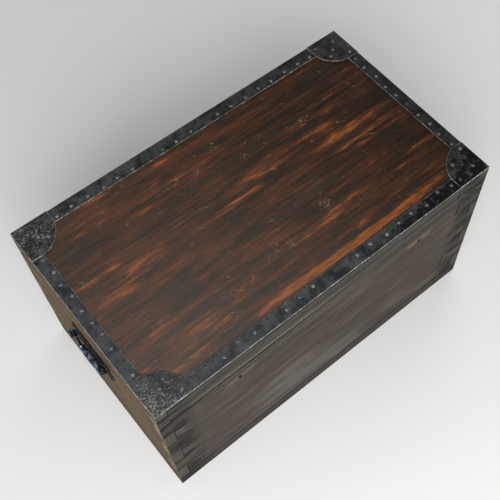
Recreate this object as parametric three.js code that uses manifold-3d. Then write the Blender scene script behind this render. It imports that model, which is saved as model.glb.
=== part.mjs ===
// Antique wooden travelling trunk with an iron-bound hinged lid and a swinging handle at each end.
// Millimetres. +X runs along the trunk, the front faces -Y, +Z is up.
// The origin is the centre of the footprint, on the floor.
import * as THREE from "three";
import { mergeGeometries, mergeVertices } from "three/addons/utils/BufferGeometryUtils.js";
import Module from "manifold-3d";

const wasm = await Module();
wasm.setup();

// Overall size
const trunkLength = 914;
const trunkWidth = 530;
const trunkHeight = 484; // floor to the top of the corner plates
const lidDepth = 70; // top of the corner plates down to the joint between lid and body
const boardThickness = 27;
const baseRailHeight = 42;

// Fits
const seatGap = 0.3; // between pieces that rest on or in each other
const runningGap = 0.6; // round whatever turns
const cutOverrun = 5; // a cut reaches this far past the face that it opens
const weldDistance = 1e-4; // corners of a mesh closer than this are one

// Corner joints
const fingerCount = 6; // tails and pins in turn, down a corner of the body
const dovetailSlopeShare = 1 / 8; // rise of a tail's edge, of its run along the board
const lidTailShares = [0.22, 0.66]; // foot and head of the lid's one tail, of the lid rail's height

// Floor
const floorThickness = 18;
const floorLedge = 9; // width of the step in the base rails that holds the floor
const floorBoardCount = 4;
const bottomBattenWidth = 70;
const bottomBattenThickness = 15;
const bottomBattenInset = 187; // its middle, from the trunk's end

// Top
const topThickness = 18;
const topBoardCount = 3;
const rimWidth = 13.5; // top of a lid rail, outside the step that holds the top boards
const lidBattenWidth = 60;
const lidBattenThickness = 14;
const lidBattenInset = 222; // its middle, from the trunk's end

// Iron on the top
const ironThickness = 2;
const frontStripWidth = 33;
const backStripWidth = 35;
const endStripWidth = 31;
const cornerPlateLength = 90; // along each edge from the corner
const cornerPlateRadius = 82; // of its round edge
const cornerPlateSteps = 10; // chords of its round edge

// Nails
const nailHeadRadius = 4;
const nailHeadHeight = 2.2;
const nailShankWidth = 2.2;
const nailShankLength = 18;
const nailHeadSides = 8;
const nailPitch = 38.6;
const nailRowInset = 10; // first nail of a row, past the corner plate
const nailCrownShares = [0.66, 0.8]; // radius and height where a nail's head rounds over
// Nails of a corner plate, of its length from the corner along each edge.
const plateNailShares = [[0.3, 0.29], [0.84, 0.19], [0.18, 0.86], [0.67, 0.64], [0.47, 0.48]];
// Nails of a row in turn, driven by hand: in from the trunk's edge, of the strip's width.
const frontNailShares = [0.7, 0.74, 0.5, 0.79, 0.6, 0.73, 0.55];
const backNailShares = [0.73, 0.66, 0.7, 0.75, 0.68];
const endNailShares = [0.62, 0.7, 0.58, 0.74, 0.66];
const nailDriftShares = [0.03, -0.04, 0.02, 0.05, -0.03, -0.05, 0.04]; // along the row, of the pitch

// Marks on the front
const haspHoleInset = 200; // from the trunk's ends
const haspHoleDrop = 109; // below the top
const haspHoleRadius = 2.5;
const haspHoleDepth = 15;
const beadDrop = 13; // scratched bead line below the body's top edge
const beadWidth = 1.6;
const beadDepth = 1.2;
const scoreInset = 77; // scored lines that an old strap left, from the trunk's ends
const lidScoreInset = 88;
const scoreWidth = 3.2;
const scoreDepth = 2;
const scoreSpanShares = [[0.515, 0.58], [0.235, 0.33], [0.01, 0.06]]; // of the height, from the floor
const bodyScoreSpanShares = [[0.73, 0.84], ...scoreSpanShares];
const lidScoreSpanShares = [[0.895, 0.97]];

// Base nails
const baseNailSpacing = 138; // centre to centre
const baseNailHeadRadius = 3;
const baseNailHeadHeight = 1;
const baseNailLength = 34;

// Hinges
const lidStop = 100; // degrees at which the bevelled back edges meet
const bevelClearance = 1; // degrees, on each bevel
const hingeAxisInset = 10; // inside the back face
const hingeEndInset = 157; // its middle, from the trunk's end
const hingeLength = 90;
const knuckleCount = 5;
const knuckleRadius = 4.5;
const knuckleSides = 12;
const hingePinRadius = 2;
const leafThickness = 2.5;
const leafWidth = 14.5; // from the axis into the trunk
const leafScrewSpacing = 32;
const leafScrewInset = 9; // from the axis

// Screws
const screwHeadRadius = 3.2;
const screwHeadHeight = 1.8;
const screwShankRadius = 1.6;
const screwLength = 16;
const screwSides = 8;

// Handles
const handleDrop = 69; // of the axis that the handle swings on, below the body's top edge
const handlePlateLength = 146;
const handlePlateHeight = 86;
const handlePlateThickness = 2.5;
const handlePlateRadius = 15; // of its corners
const handlePlateSteps = 5; // chords of a corner
const earSpacing = 114; // centre to centre
const earWidth = 13;
const earRadius = 8.5;
const earSteps = 8; // chords of its round end
const bailRadius = 4;
const bailSides = 10;
const bailDrop = 38;
const bailBendRadius = 6.5;
const bailBendSteps = 4;
const bailHeadRadius = 6;
const bailHeadLength = 2.5;
const gripRadius = 8;
const gripClearance = 1.2; // to the plate
const gripSides = 14;
// The grip's outline from its end to its middle, of its half length and of its radius.
const gripNeckShares = [[1, 0.8], [1, 0.92], [0.96, 1], [0.92, 0.92], [0.9, 0.78], [0.86, 0.76]];
const gripBarrelShares = [[0.8, 0.84], [0.6, 0.94], [0.35, 0.99], [0.1, 1], [0.06, 0.9], [0, 1]];
const plateScrewHeadRadius = 4;
const plateScrewHeadHeight = 1.8;
const plateScrewDomeShare = 0.7; // radius and height where its head rounds over
const plateScrewInset = 9.5; // from the plate's edges
const plateScrewClearance = 2; // between a screw's head and the ear below it

// Derived places
const halfLength = trunkLength / 2;
const halfWidth = trunkWidth / 2;
const woodTop = trunkHeight - 2 * (ironThickness + seatGap);
const ironFoot = woodTop + seatGap;
const stripTop = ironFoot + ironThickness;
const plateWall = seatGap + ironThickness; // gap and iron beside a strip, where a plate steps down
const jointHeight = trunkHeight - lidDepth;
const lidFoot = jointHeight + seatGap;
const bodyFoot = baseRailHeight + seatGap;
const innerHalfLength = halfLength - boardThickness;
const innerHalfWidth = halfWidth - boardThickness;
const floorFoot = baseRailHeight - floorThickness;
const topFoot = woodTop - topThickness;
const rimHalfLength = halfLength - rimWidth;
const rimHalfWidth = halfWidth - rimWidth;
const hingeY = halfWidth - hingeAxisInset;
const hingeZ = jointHeight + seatGap / 2;
const fingerHeight = (jointHeight - bodyFoot) / fingerCount;
const handleHeight = jointHeight - handleDrop;
const handleStandOff = seatGap + handlePlateThickness + gripClearance + gripRadius;
const screwAboveAxis = earRadius + plateScrewClearance + plateScrewHeadRadius;
const plateHead = handleHeight + screwAboveAxis + plateScrewInset;
const plateFoot = plateHead - handlePlateHeight;

// Solids from outlines, boxes and turned profiles

const directions = {
  x: new THREE.Vector3(1, 0, 0),
  y: new THREE.Vector3(0, 1, 0),
  z: new THREE.Vector3(0, 0, 1),
};
const planes = {
  x: new THREE.Matrix4().makeBasis(directions.y, directions.z, directions.x),
  y: new THREE.Matrix4().makeBasis(directions.x, directions.z, directions.y.clone().negate()),
  z: new THREE.Matrix4().makeBasis(directions.x, directions.y, directions.z),
};

function bareGeometry(geometry) {
  const bare = geometry.index ? geometry.toNonIndexed() : geometry.clone();
  bare.deleteAttribute("normal");
  bare.deleteAttribute("uv");
  return bare;
}

function solidFrom(geometry) {
  const merged = mergeVertices(bareGeometry(geometry), weldDistance);
  return new wasm.Manifold(
    new wasm.Mesh({
      numProp: 3,
      vertProperties: Float32Array.from(merged.attributes.position.array),
      triVerts: Uint32Array.from(merged.index.array),
    }),
  );
}

function geometryFrom(solid) {
  const mesh = solid.getMesh();
  const geometry = new THREE.BufferGeometry();
  geometry.setAttribute("position", new THREE.BufferAttribute(mesh.vertProperties, 3));
  geometry.setIndex(new THREE.BufferAttribute(mesh.triVerts, 1));
  geometry.computeVertexNormals();
  return geometry;
}

function boxGeometry(x0, x1, y0, y1, z0, z1) {
  const geometry = new THREE.BoxGeometry(x1 - x0, y1 - y0, z1 - z0);
  return geometry.translate((x0 + x1) / 2, (y0 + y1) / 2, (z0 + z1) / 2);
}

function box(x0, x1, y0, y1, z0, z1) {
  return solidFrom(boxGeometry(x0, x1, y0, y1, z0, z1));
}

// Two places on an axis, the lower one first.
function between(a, b) {
  return a < b ? [a, b] : [b, a];
}

// An outline's points are (y, z) for a prism along x, (x, z) along y and (x, y) along z.
function prismFromShape(shape, along, from, to, curveSegments) {
  const length = Math.abs(to - from);
  const geometry = new THREE.ExtrudeGeometry(shape, {
    depth: length,
    bevelEnabled: false,
    curveSegments,
  });
  geometry.applyMatrix4(planes[along]);
  const shift = along === "y" ? Math.max(from, to) : Math.min(from, to);
  geometry.translate(...directions[along].clone().multiplyScalar(shift).toArray());
  return solidFrom(geometry);
}

function prism(points, along, from, to) {
  const shape = new THREE.Shape(points.map(([across, up]) => new THREE.Vector2(across, up)));
  return prismFromShape(shape, along, from, to, 1);
}

// A rod between two places on the line through (u, v) of the plane square to the axis.
function rod(radius, sides, along, from, to, u, v) {
  const shape = new THREE.Shape();
  for (let side = 0; side < sides; side += 1) {
    const angle = ((side + 0.5) / sides) * 2 * Math.PI;
    const x = u + radius * Math.cos(angle);
    const y = v + radius * Math.sin(angle);
    if (side === 0) shape.moveTo(x, y);
    else shape.lineTo(x, y);
  }
  return prismFromShape(shape, along, from, to, 1);
}

// The corner radius of a many-sided hole whose flats clear a round rod.
function holeRadius(radius, gap, sides) {
  return (radius + gap) / Math.cos(Math.PI / sides);
}

function turned(profile, sides) {
  const points = profile.map(([radius, height]) => new THREE.Vector2(radius, height));
  return new THREE.LatheGeometry(points, sides);
}

function union(solids) {
  return solids.reduce((whole, solid) => whole.add(solid));
}

function cut(solid, cutters) {
  return cutters.reduce((rest, cutter) => rest.subtract(cutter), solid);
}

// Copies of one geometry that stand clear of each other, as one solid.
function scattered(geometry, transforms) {
  const copies = transforms.map((transform) => bareGeometry(geometry).applyMatrix4(transform));
  return solidFrom(mergeGeometries(copies));
}

function placed(x, y, z) {
  return new THREE.Matrix4().makeTranslation(x, y, z);
}

// Finishes

function material(colour, roughness, metalness) {
  return new THREE.MeshStandardMaterial({ color: colour, roughness, metalness });
}

const finishes = {
  wall: () => material(0x5a5149, 0.5, 0),
  end: () => material(0x776450, 0.6, 0),
  top: () => material(0x4b3a31, 0.45, 0),
  inside: () => material(0x8a6f52, 0.8, 0),
  strip: () => material(0x23262b, 0.45, 0.8),
  nail: () => material(0x6d6f72, 0.4, 0.9),
  handle: () => material(0x17181a, 0.4, 0.8),
  hinge: () => material(0x3c3b39, 0.5, 0.8),
};

const pieces = {};

function addPiece(name, solid, finish) {
  pieces[name] = { solid, finish };
}

function cutPiece(name, cutters) {
  pieces[name].solid = cut(pieces[name].solid, cutters);
}

// Dovetailed corners of the body. A finger is a tail or a pin, seen from the front at the +X end.

// How far a tail's edge stands out from its place at mid board, at x along the trunk.
function dovetailRise(x) {
  return dovetailSlopeShare * (x - (halfLength + innerHalfLength) / 2);
}

// A finger between x0 and x1, whose foot and head are functions of x.
function fingerOutline(footAt, headAt, x0, x1) {
  return [
    [x0, footAt(x0)],
    [x1, footAt(x1)],
    [x1, headAt(x1)],
    [x0, headAt(x0)],
  ];
}

function mirrored(points, side) {
  return points.map(([across, up]) => [side * across, up]);
}

// The edge above a finger. Finger 0 is the tail at the top, and tails have even numbers.
function fingerEdge(finger, x) {
  const belowTail = finger % 2 === 1;
  return jointHeight - finger * fingerHeight + (belowTail ? -1 : 1) * dovetailRise(x);
}

// What a finger of one board takes out of the other, wider than the finger by a gap.
function fingerSocket(finger, side, x0, faces, gap) {
  const first = finger === 0;
  const last = finger === fingerCount - 1;
  const footAt = (x) => (last ? bodyFoot - cutOverrun : fingerEdge(finger + 1, x) - gap);
  const headAt = (x) => (first ? jointHeight + cutOverrun : fingerEdge(finger, x) + gap);
  const outline = fingerOutline(footAt, headAt, x0, halfLength + cutOverrun);
  return prism(mirrored(outline, side), "y", ...faces);
}

// The sockets of the walls' tails in an end board, and of the end boards' pins in a wall.
function fingerSockets(firstFinger, side, wallSign, x0, y0, gap) {
  const faces = [wallSign * y0, wallSign * (halfWidth + cutOverrun)];
  const sockets = [];
  for (let finger = firstFinger; finger < fingerCount; finger += 2) {
    sockets.push(fingerSocket(finger, side, x0, faces, gap));
  }
  return sockets;
}

function tailSockets(side, wallSign) {
  const x0 = innerHalfLength - cutOverrun;
  return fingerSockets(0, side, wallSign, x0, innerHalfWidth - seatGap, seatGap);
}

function pinSockets(side, wallSign) {
  const x0 = innerHalfLength - seatGap;
  return fingerSockets(1, side, wallSign, x0, innerHalfWidth - cutOverrun, 0);
}

function wallSlab(sign, foot, head) {
  const faces = between(sign * innerHalfWidth, sign * halfWidth);
  return box(-halfLength, halfLength, ...faces, foot, head);
}

function endSlab(side, foot, head) {
  const faces = between(side * innerHalfLength, side * halfLength);
  return box(...faces, -halfWidth, halfWidth, foot, head);
}

// Bevels along the back edges, which meet when the lid stands open

const bevelRise = Math.tan(THREE.MathUtils.degToRad(lidStop / 2 + bevelClearance));

function backBevel(start, upSign) {
  const far = halfWidth + cutOverrun;
  const rise = upSign * (far - hingeY) * bevelRise;
  const outline = [
    [hingeY, start],
    [hingeY, start - upSign * cutOverrun],
    [far, start - upSign * cutOverrun],
    [far, start + rise],
  ];
  return prism(outline, "x", -halfLength - cutOverrun, halfLength + cutOverrun);
}

const bodyBevel = backBevel(jointHeight, -1);
const lidBevel = backBevel(lidFoot, 1);

// Marks on the front

function scoreCutters(inset, spanShares) {
  const cutters = [];
  for (const side of [-1, 1]) {
    const centre = side * (halfLength - inset);
    for (const [footShare, headShare] of spanShares) {
      cutters.push(
        box(
          centre - scoreWidth / 2,
          centre + scoreWidth / 2,
          -halfWidth - cutOverrun,
          -halfWidth + scoreDepth,
          footShare * trunkHeight,
          headShare * trunkHeight,
        ),
      );
    }
  }
  return cutters;
}

function haspHoles() {
  const height = trunkHeight - haspHoleDrop;
  return [-1, 1].map((side) =>
    rod(
      haspHoleRadius,
      screwSides,
      "y",
      -halfWidth - cutOverrun,
      -halfWidth + haspHoleDepth,
      side * (halfLength - haspHoleInset),
      height,
    ),
  );
}

function beadLine() {
  const height = jointHeight - beadDrop;
  const outline = [
    [-halfWidth, height - beadWidth / 2],
    [-halfWidth - cutOverrun, height - beadWidth / 2],
    [-halfWidth - cutOverrun, height + beadWidth / 2],
    [-halfWidth, height + beadWidth / 2],
    [-halfWidth + beadDepth, height],
  ];
  return prism(outline, "x", -halfLength - cutOverrun, halfLength + cutOverrun);
}

// Body walls

function makeWalls() {
  const frontSockets = [...pinSockets(1, -1), ...pinSockets(-1, -1)];
  const marks = [...scoreCutters(scoreInset, bodyScoreSpanShares), ...haspHoles(), beadLine()];
  const front = cut(wallSlab(-1, bodyFoot, jointHeight), [...frontSockets, ...marks]);
  addPiece("front_board", front, "wall");
  const backSockets = [...pinSockets(1, 1), ...pinSockets(-1, 1)];
  const back = cut(wallSlab(1, bodyFoot, jointHeight), [...backSockets, bodyBevel]);
  addPiece("back_board", back, "wall");
  for (const [name, side] of [["left_end_board", -1], ["right_end_board", 1]]) {
    const sockets = [...tailSockets(side, -1), ...tailSockets(side, 1)];
    addPiece(name, cut(endSlab(side, bodyFoot, jointHeight), [...sockets, bodyBevel]), "end");
  }
}

// Base rails with a ledge for the floor. The long rails lap over the ends of the short ones, as
// deep as the ledge is wide.

function makeBase() {
  const ledgeCut = box(
    -innerHalfLength - floorLedge,
    innerHalfLength + floorLedge,
    -innerHalfWidth - floorLedge,
    innerHalfWidth + floorLedge,
    floorFoot,
    baseRailHeight + cutOverrun,
  );
  const scores = scoreCutters(scoreInset, scoreSpanShares);
  for (const [name, sign] of [["base_rail_front", -1], ["base_rail_back", 1]]) {
    const laps = [-1, 1].map((side) => {
      const ends = between(side * innerHalfLength, side * (halfLength + cutOverrun));
      const faces = between(sign * (innerHalfWidth - cutOverrun), sign * (halfWidth - floorLedge));
      return box(...ends, ...faces, -cutOverrun, baseRailHeight + cutOverrun);
    });
    const rail = cut(wallSlab(sign, 0, baseRailHeight), [...laps, ledgeCut]);
    addPiece(name, sign < 0 ? cut(rail, scores) : rail, "wall");
  }
  const reach = halfWidth - floorLedge - seatGap;
  for (const [name, side] of [["base_rail_left", -1], ["base_rail_right", 1]]) {
    const faces = between(side * (innerHalfLength + seatGap), side * halfLength);
    const rail = box(...faces, -reach, reach, 0, baseRailHeight);
    addPiece(name, cut(rail, [ledgeCut]), "end");
  }
}

// Floor boards on the ledge, and battens under them

function makeFloor() {
  const reachX = innerHalfLength + floorLedge - seatGap;
  const reachY = innerHalfWidth + floorLedge - seatGap;
  const boardWidth = (2 * reachY - (floorBoardCount - 1) * seatGap) / floorBoardCount;
  const boardFoot = floorFoot + seatGap;
  const battenFoot = floorFoot - bottomBattenThickness;
  for (let row = 0; row < floorBoardCount; row += 1) {
    const y0 = -reachY + row * (boardWidth + seatGap);
    const board = box(-reachX, reachX, y0, y0 + boardWidth, boardFoot, baseRailHeight);
    addPiece(`bottom_board_${row + 1}`, board, "inside");
  }
  const battenReach = innerHalfWidth - seatGap;
  for (const [name, side] of [["bottom_batten_left", -1], ["bottom_batten_right", 1]]) {
    const centre = side * (halfLength - bottomBattenInset);
    const x0 = centre - bottomBattenWidth / 2;
    const x1 = centre + bottomBattenWidth / 2;
    addPiece(name, box(x0, x1, -battenReach, battenReach, battenFoot, floorFoot), "inside");
  }
}

// Countersunk screws, down from a face at the given height or up from it

function screwProfile(gap) {
  const headRadius = screwHeadRadius + gap;
  const shankRadius = screwShankRadius + gap;
  return [
    [0, -gap],
    [headRadius, -gap],
    [shankRadius, screwHeadHeight + gap],
    [shankRadius, screwLength + gap],
    [0, screwLength + gap],
  ];
}

function screwPlaces(places, height, upward) {
  const turn = new THREE.Matrix4().makeRotationX(upward ? Math.PI / 2 : -Math.PI / 2);
  return places.map(([x, y]) => placed(x, y, height).multiply(turn));
}

// Lid frame, with one tail at each end of its long rails

function lidTailOutline(x0, x1, gap) {
  const height = woodTop - lidFoot;
  const [footShare, headShare] = lidTailShares;
  const footAt = (x) => lidFoot + footShare * height - dovetailRise(x) - gap;
  const headAt = (x) => lidFoot + headShare * height + dovetailRise(x) + gap;
  return fingerOutline(footAt, headAt, x0, x1);
}

function lidTail(side, wallSign) {
  const outline = lidTailOutline(innerHalfLength - cutOverrun, halfLength, 0);
  return prism(mirrored(outline, side), "y", wallSign * innerHalfWidth, wallSign * halfWidth);
}

function lidTailSocket(side, wallSign) {
  const outline = lidTailOutline(innerHalfLength - cutOverrun, halfLength + cutOverrun, seatGap);
  const faces = [wallSign * (innerHalfWidth - seatGap), wallSign * (halfWidth + cutOverrun)];
  return prism(mirrored(outline, side), "y", ...faces);
}

function makeLidFrame() {
  const step = box(
    -rimHalfLength,
    rimHalfLength,
    -rimHalfWidth,
    rimHalfWidth,
    topFoot - seatGap,
    woodTop + cutOverrun,
  );
  const shoulder = innerHalfLength - seatGap;
  for (const [name, sign] of [["lid_rail_front", -1], ["lid_rail_back", 1]]) {
    const faces = between(sign * innerHalfWidth, sign * halfWidth);
    const middle = box(-shoulder, shoulder, ...faces, lidFoot, woodTop);
    const rail = union([middle, lidTail(-1, sign), lidTail(1, sign)]);
    const cutters = sign < 0 ? scoreCutters(lidScoreInset, lidScoreSpanShares) : [lidBevel];
    addPiece(name, cut(rail, [step, ...cutters]), "wall");
  }
  for (const [name, side] of [["lid_rail_left", -1], ["lid_rail_right", 1]]) {
    const sockets = [lidTailSocket(side, -1), lidTailSocket(side, 1)];
    const rail = cut(endSlab(side, lidFoot, woodTop), [...sockets, step, lidBevel]);
    addPiece(name, rail, "end");
  }
}

// Top boards in the lid frame, and battens under them

function makeTop() {
  const reachX = rimHalfLength - seatGap;
  const reachY = rimHalfWidth - seatGap;
  const boardWidth = (2 * reachY - (topBoardCount - 1) * seatGap) / topBoardCount;
  ["front", "middle", "back"].forEach((name, row) => {
    const y0 = -reachY + row * (boardWidth + seatGap);
    addPiece(`top_board_${name}`, box(-reachX, reachX, y0, y0 + boardWidth, topFoot, woodTop), "top");
  });
  const battenReach = innerHalfWidth - seatGap;
  const battenHead = topFoot - seatGap;
  const battenFoot = battenHead - lidBattenThickness;
  for (const [name, side] of [["lid_batten_left", -1], ["lid_batten_right", 1]]) {
    const centre = side * (halfLength - lidBattenInset);
    const x0 = centre - lidBattenWidth / 2;
    const x1 = centre + lidBattenWidth / 2;
    addPiece(name, box(x0, x1, -battenReach, battenReach, battenFoot, battenHead), "inside");
  }
}

// Iron strips and corner plates

function makeStrips() {
  const front = -halfWidth + frontStripWidth;
  const back = halfWidth - backStripWidth;
  const addStrip = (name, x0, x1, y0, y1) => {
    addPiece(`edge_strip_${name}`, box(x0, x1, y0, y1, ironFoot, stripTop), "strip");
  };
  addStrip("front", -halfLength, halfLength, -halfWidth, front);
  addStrip("back", -halfLength, halfLength, back, halfWidth);
  addStrip("left", -halfLength, -halfLength + endStripWidth, front + seatGap, back - seatGap);
  addStrip("right", halfLength - endStripWidth, halfLength, front + seatGap, back - seatGap);
}

// A plate's outline: straight edges along the trunk's, from the corner to the inner edges of the
// strips, and a round edge between the ends of those.
function cornerPlateShape(sideX, sideY, bandX, bandY) {
  const start = new THREE.Vector2(cornerPlateLength, bandY);
  const end = new THREE.Vector2(bandX, cornerPlateLength);
  const middle = start.clone().add(end).divideScalar(2);
  const halfChord = end.clone().sub(middle);
  const towardsCorner = new THREE.Vector2(-halfChord.y, halfChord.x).normalize();
  const depth = Math.sqrt(cornerPlateRadius ** 2 - halfChord.lengthSq());
  const centre = middle.addScaledVector(towardsCorner, depth);
  const startAngle = start.clone().sub(centre).angle();
  const sweep = end.clone().sub(centre).angle() - startAngle;
  const points = [[0, 0], [cornerPlateLength, 0]];
  for (let step = 0; step <= cornerPlateSteps; step += 1) {
    const angle = startAngle + (step / cornerPlateSteps) * sweep;
    points.push([
      centre.x + cornerPlateRadius * Math.cos(angle),
      centre.y + cornerPlateRadius * Math.sin(angle),
    ]);
  }
  points.push([0, cornerPlateLength]);
  return points.map(([u, v]) => [sideX * (halfLength - u), sideY * (halfWidth - v)]);
}

// A plate lies over both strips and steps down to the wood between them.
function makeCornerPlate(sideX, sideY) {
  const bandX = endStripWidth;
  const bandY = sideY < 0 ? frontStripWidth : backStripWidth;
  const far = cornerPlateLength + cutOverrun;
  const zone = (u0, u1, v0, v1, z0, z1) => {
    const edgesX = between(sideX * (halfLength - u0), sideX * (halfLength - u1));
    const edgesY = between(sideY * (halfWidth - v0), sideY * (halfWidth - v1));
    return box(...edgesX, ...edgesY, z0, z1);
  };
  const underHeights = [ironFoot - cutOverrun, stripTop + seatGap];
  const underLong = zone(-cutOverrun, far, -cutOverrun, bandY + seatGap, ...underHeights);
  const underShort = zone(-cutOverrun, bandX + seatGap, -cutOverrun, far, ...underHeights);
  const step = [bandX + plateWall, far, bandY + plateWall, far];
  const over = zone(...step, stripTop, trunkHeight + cutOverrun);
  const outline = cornerPlateShape(sideX, sideY, bandX, bandY);
  return cut(prism(outline, "z", ironFoot, trunkHeight), [underLong, underShort, over]);
}

function makeCornerPlates() {
  for (const [endName, sideX] of [["left", -1], ["right", 1]]) {
    for (const [edgeName, sideY] of [["front", -1], ["back", 1]]) {
      addPiece(`corner_plate_${edgeName}_${endName}`, makeCornerPlate(sideX, sideY), "strip");
    }
  }
}

// Domed nails with square shanks, part of the iron that they hold, each in a square hole

// A nail that stands at the origin, its head let a little into the iron.
function nailGeometry() {
  const [crownRadiusShare, crownHeightShare] = nailCrownShares;
  const head = solidFrom(
    turned(
      [
        [0, -seatGap],
        [nailHeadRadius, -seatGap],
        [crownRadiusShare * nailHeadRadius, crownHeightShare * nailHeadHeight],
        [0, nailHeadHeight],
      ],
      nailHeadSides,
    ).rotateX(Math.PI / 2),
  );
  const half = nailShankWidth / 2;
  const shank = box(-half, half, -half, half, -nailShankLength, nailHeadHeight / 2);
  return geometryFrom(head.add(shank));
}

function nailHoleGeometry() {
  const half = nailShankWidth / 2 + seatGap;
  return boxGeometry(-half, half, -half, half, -nailShankLength - seatGap, 0);
}

function addNails(carrier, places, wood) {
  const spots = places.map(([x, y, z]) => placed(x, y, z));
  pieces[carrier].solid = pieces[carrier].solid.add(scattered(nailGeometry(), spots));
  const holes = scattered(nailHoleGeometry(), spots);
  for (const piece of wood) cutPiece(piece, [holes]);
}

// Along a strip and in from the trunk's edge.
function nailRow(length, stripWidth, insetShares) {
  const span = length - 2 * (cornerPlateLength + nailRowInset);
  const gaps = Math.round(span / nailPitch);
  const places = [];
  for (let nail = 0; nail <= gaps; nail += 1) {
    const drift = nailDriftShares[nail % nailDriftShares.length] * nailPitch;
    const inset = insetShares[nail % insetShares.length] * stripWidth;
    places.push([-span / 2 + (nail * span) / gaps + drift, inset]);
  }
  return places;
}

function makeStripNails() {
  const topBoards = ["top_board_front", "top_board_middle", "top_board_back"];
  const front = nailRow(trunkLength, frontStripWidth, frontNailShares);
  const back = nailRow(trunkLength, backStripWidth, backNailShares);
  const end = nailRow(trunkWidth, endStripWidth, endNailShares);
  const rows = {
    front: front.map(([x, inset]) => [x, -halfWidth + inset, stripTop]),
    back: back.map(([x, inset]) => [x, halfWidth - inset, stripTop]),
    left: end.map(([y, inset]) => [-halfLength + inset, y, stripTop]),
    right: end.map(([y, inset]) => [halfLength - inset, -y, stripTop]),
  };
  for (const [name, places] of Object.entries(rows)) {
    addNails(`edge_strip_${name}`, places, [`lid_rail_${name}`, ...topBoards]);
  }
}

function makePlateNails() {
  for (const [endName, sideX] of [["left", -1], ["right", 1]]) {
    for (const [edgeName, sideY] of [["front", -1], ["back", 1]]) {
      const bandY = sideY < 0 ? frontStripWidth : backStripWidth;
      const places = plateNailShares.map(([shareX, shareY]) => {
        const u = shareX * cornerPlateLength;
        const v = shareY * cornerPlateLength;
        const pastStrips = Math.min(u - endStripWidth, v - bandY) - plateWall;
        const seat = pastStrips > nailHeadRadius ? stripTop : trunkHeight;
        return [sideX * (halfLength - u), sideY * (halfWidth - v), seat];
      });
      const strips = [`edge_strip_${edgeName}`, `edge_strip_${endName}`];
      const wood = [`lid_rail_${edgeName}`, `lid_rail_${endName}`, `top_board_${edgeName}`];
      addNails(`corner_plate_${edgeName}_${endName}`, places, [...strips, ...wood]);
    }
  }
}

// Nails through the base rails into the edges of the floor boards

function makeBaseNails() {
  const height = (floorFoot + seatGap + baseRailHeight) / 2;
  const half = nailShankWidth / 2;
  const head = turned(
    [
      [0, 0],
      [baseNailHeadRadius, 0],
      [baseNailHeadRadius, baseNailHeadHeight / 2],
      [0, baseNailHeadHeight],
    ],
    screwSides,
  ).rotateX(Math.PI / 2);
  const shank = box(-half, half, -half, half, -baseNailLength, baseNailHeadHeight / 2);
  const nail = solidFrom(head).add(shank);
  const wide = half + seatGap;
  const hole = boxGeometry(-wide, wide, -wide, wide, -baseNailLength - seatGap, baseNailHeadHeight);
  for (const [edgeName, sign] of [["front", -1], ["back", 1]]) {
    const board = sign < 0 ? "bottom_board_1" : `bottom_board_${floorBoardCount}`;
    for (const [endName, side] of [["left", -1], ["right", 1]]) {
      const turn = new THREE.Matrix4().makeRotationX((-sign * Math.PI) / 2);
      const face = sign * (halfWidth + seatGap);
      const spot = placed((side * baseNailSpacing) / 2, face, height).multiply(turn);
      const driven = scattered(geometryFrom(nail), [spot]);
      addPiece(`base_nail_${edgeName}_${endName}`, driven, "nail");
      for (const piece of [`base_rail_${edgeName}`, board]) cutPiece(piece, [scattered(hole, [spot])]);
    }
  }
}

// Butt hinges in the joint, with the knuckles in the groove of the bevels

function knuckleRanges(centre, onBody) {
  const pitch = hingeLength / knuckleCount;
  const ranges = [];
  for (let knuckle = onBody ? 0 : 1; knuckle < knuckleCount; knuckle += 2) {
    const x0 = centre - hingeLength / 2 + knuckle * pitch;
    ranges.push([x0 + seatGap / 2, x0 + pitch - seatGap / 2]);
  }
  return ranges;
}

function makeLeaf(centre, onBody) {
  const own = knuckleRanges(centre, onBody);
  const others = knuckleRanges(centre, !onBody);
  const faces = onBody
    ? [jointHeight - leafThickness, jointHeight]
    : [lidFoot, lidFoot + leafThickness];
  const half = hingeLength / 2 - seatGap / 2;
  const plate = box(centre - half, centre + half, hingeY - leafWidth, hingeY, ...faces);
  const relief = others.map(([x0, x1]) =>
    rod(
      holeRadius(knuckleRadius, runningGap, knuckleSides),
      knuckleSides,
      "x",
      x0 - seatGap,
      x1 + seatGap,
      hingeY,
      hingeZ,
    ),
  );
  const knuckles = own.map(([x0, x1]) =>
    rod(knuckleRadius, knuckleSides, "x", x0, x1, hingeY, hingeZ),
  );
  const bore = rod(
    holeRadius(hingePinRadius, seatGap, knuckleSides),
    knuckleSides,
    "x",
    centre - hingeLength,
    centre + hingeLength,
    hingeY,
    hingeZ,
  );
  return cut(union([cut(plate, relief), ...knuckles]), [bore]);
}

function leafScrewPlaces(centre) {
  return [-1, 0, 1].map((step) => [centre + step * leafScrewSpacing, hingeY - leafScrewInset]);
}

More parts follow.
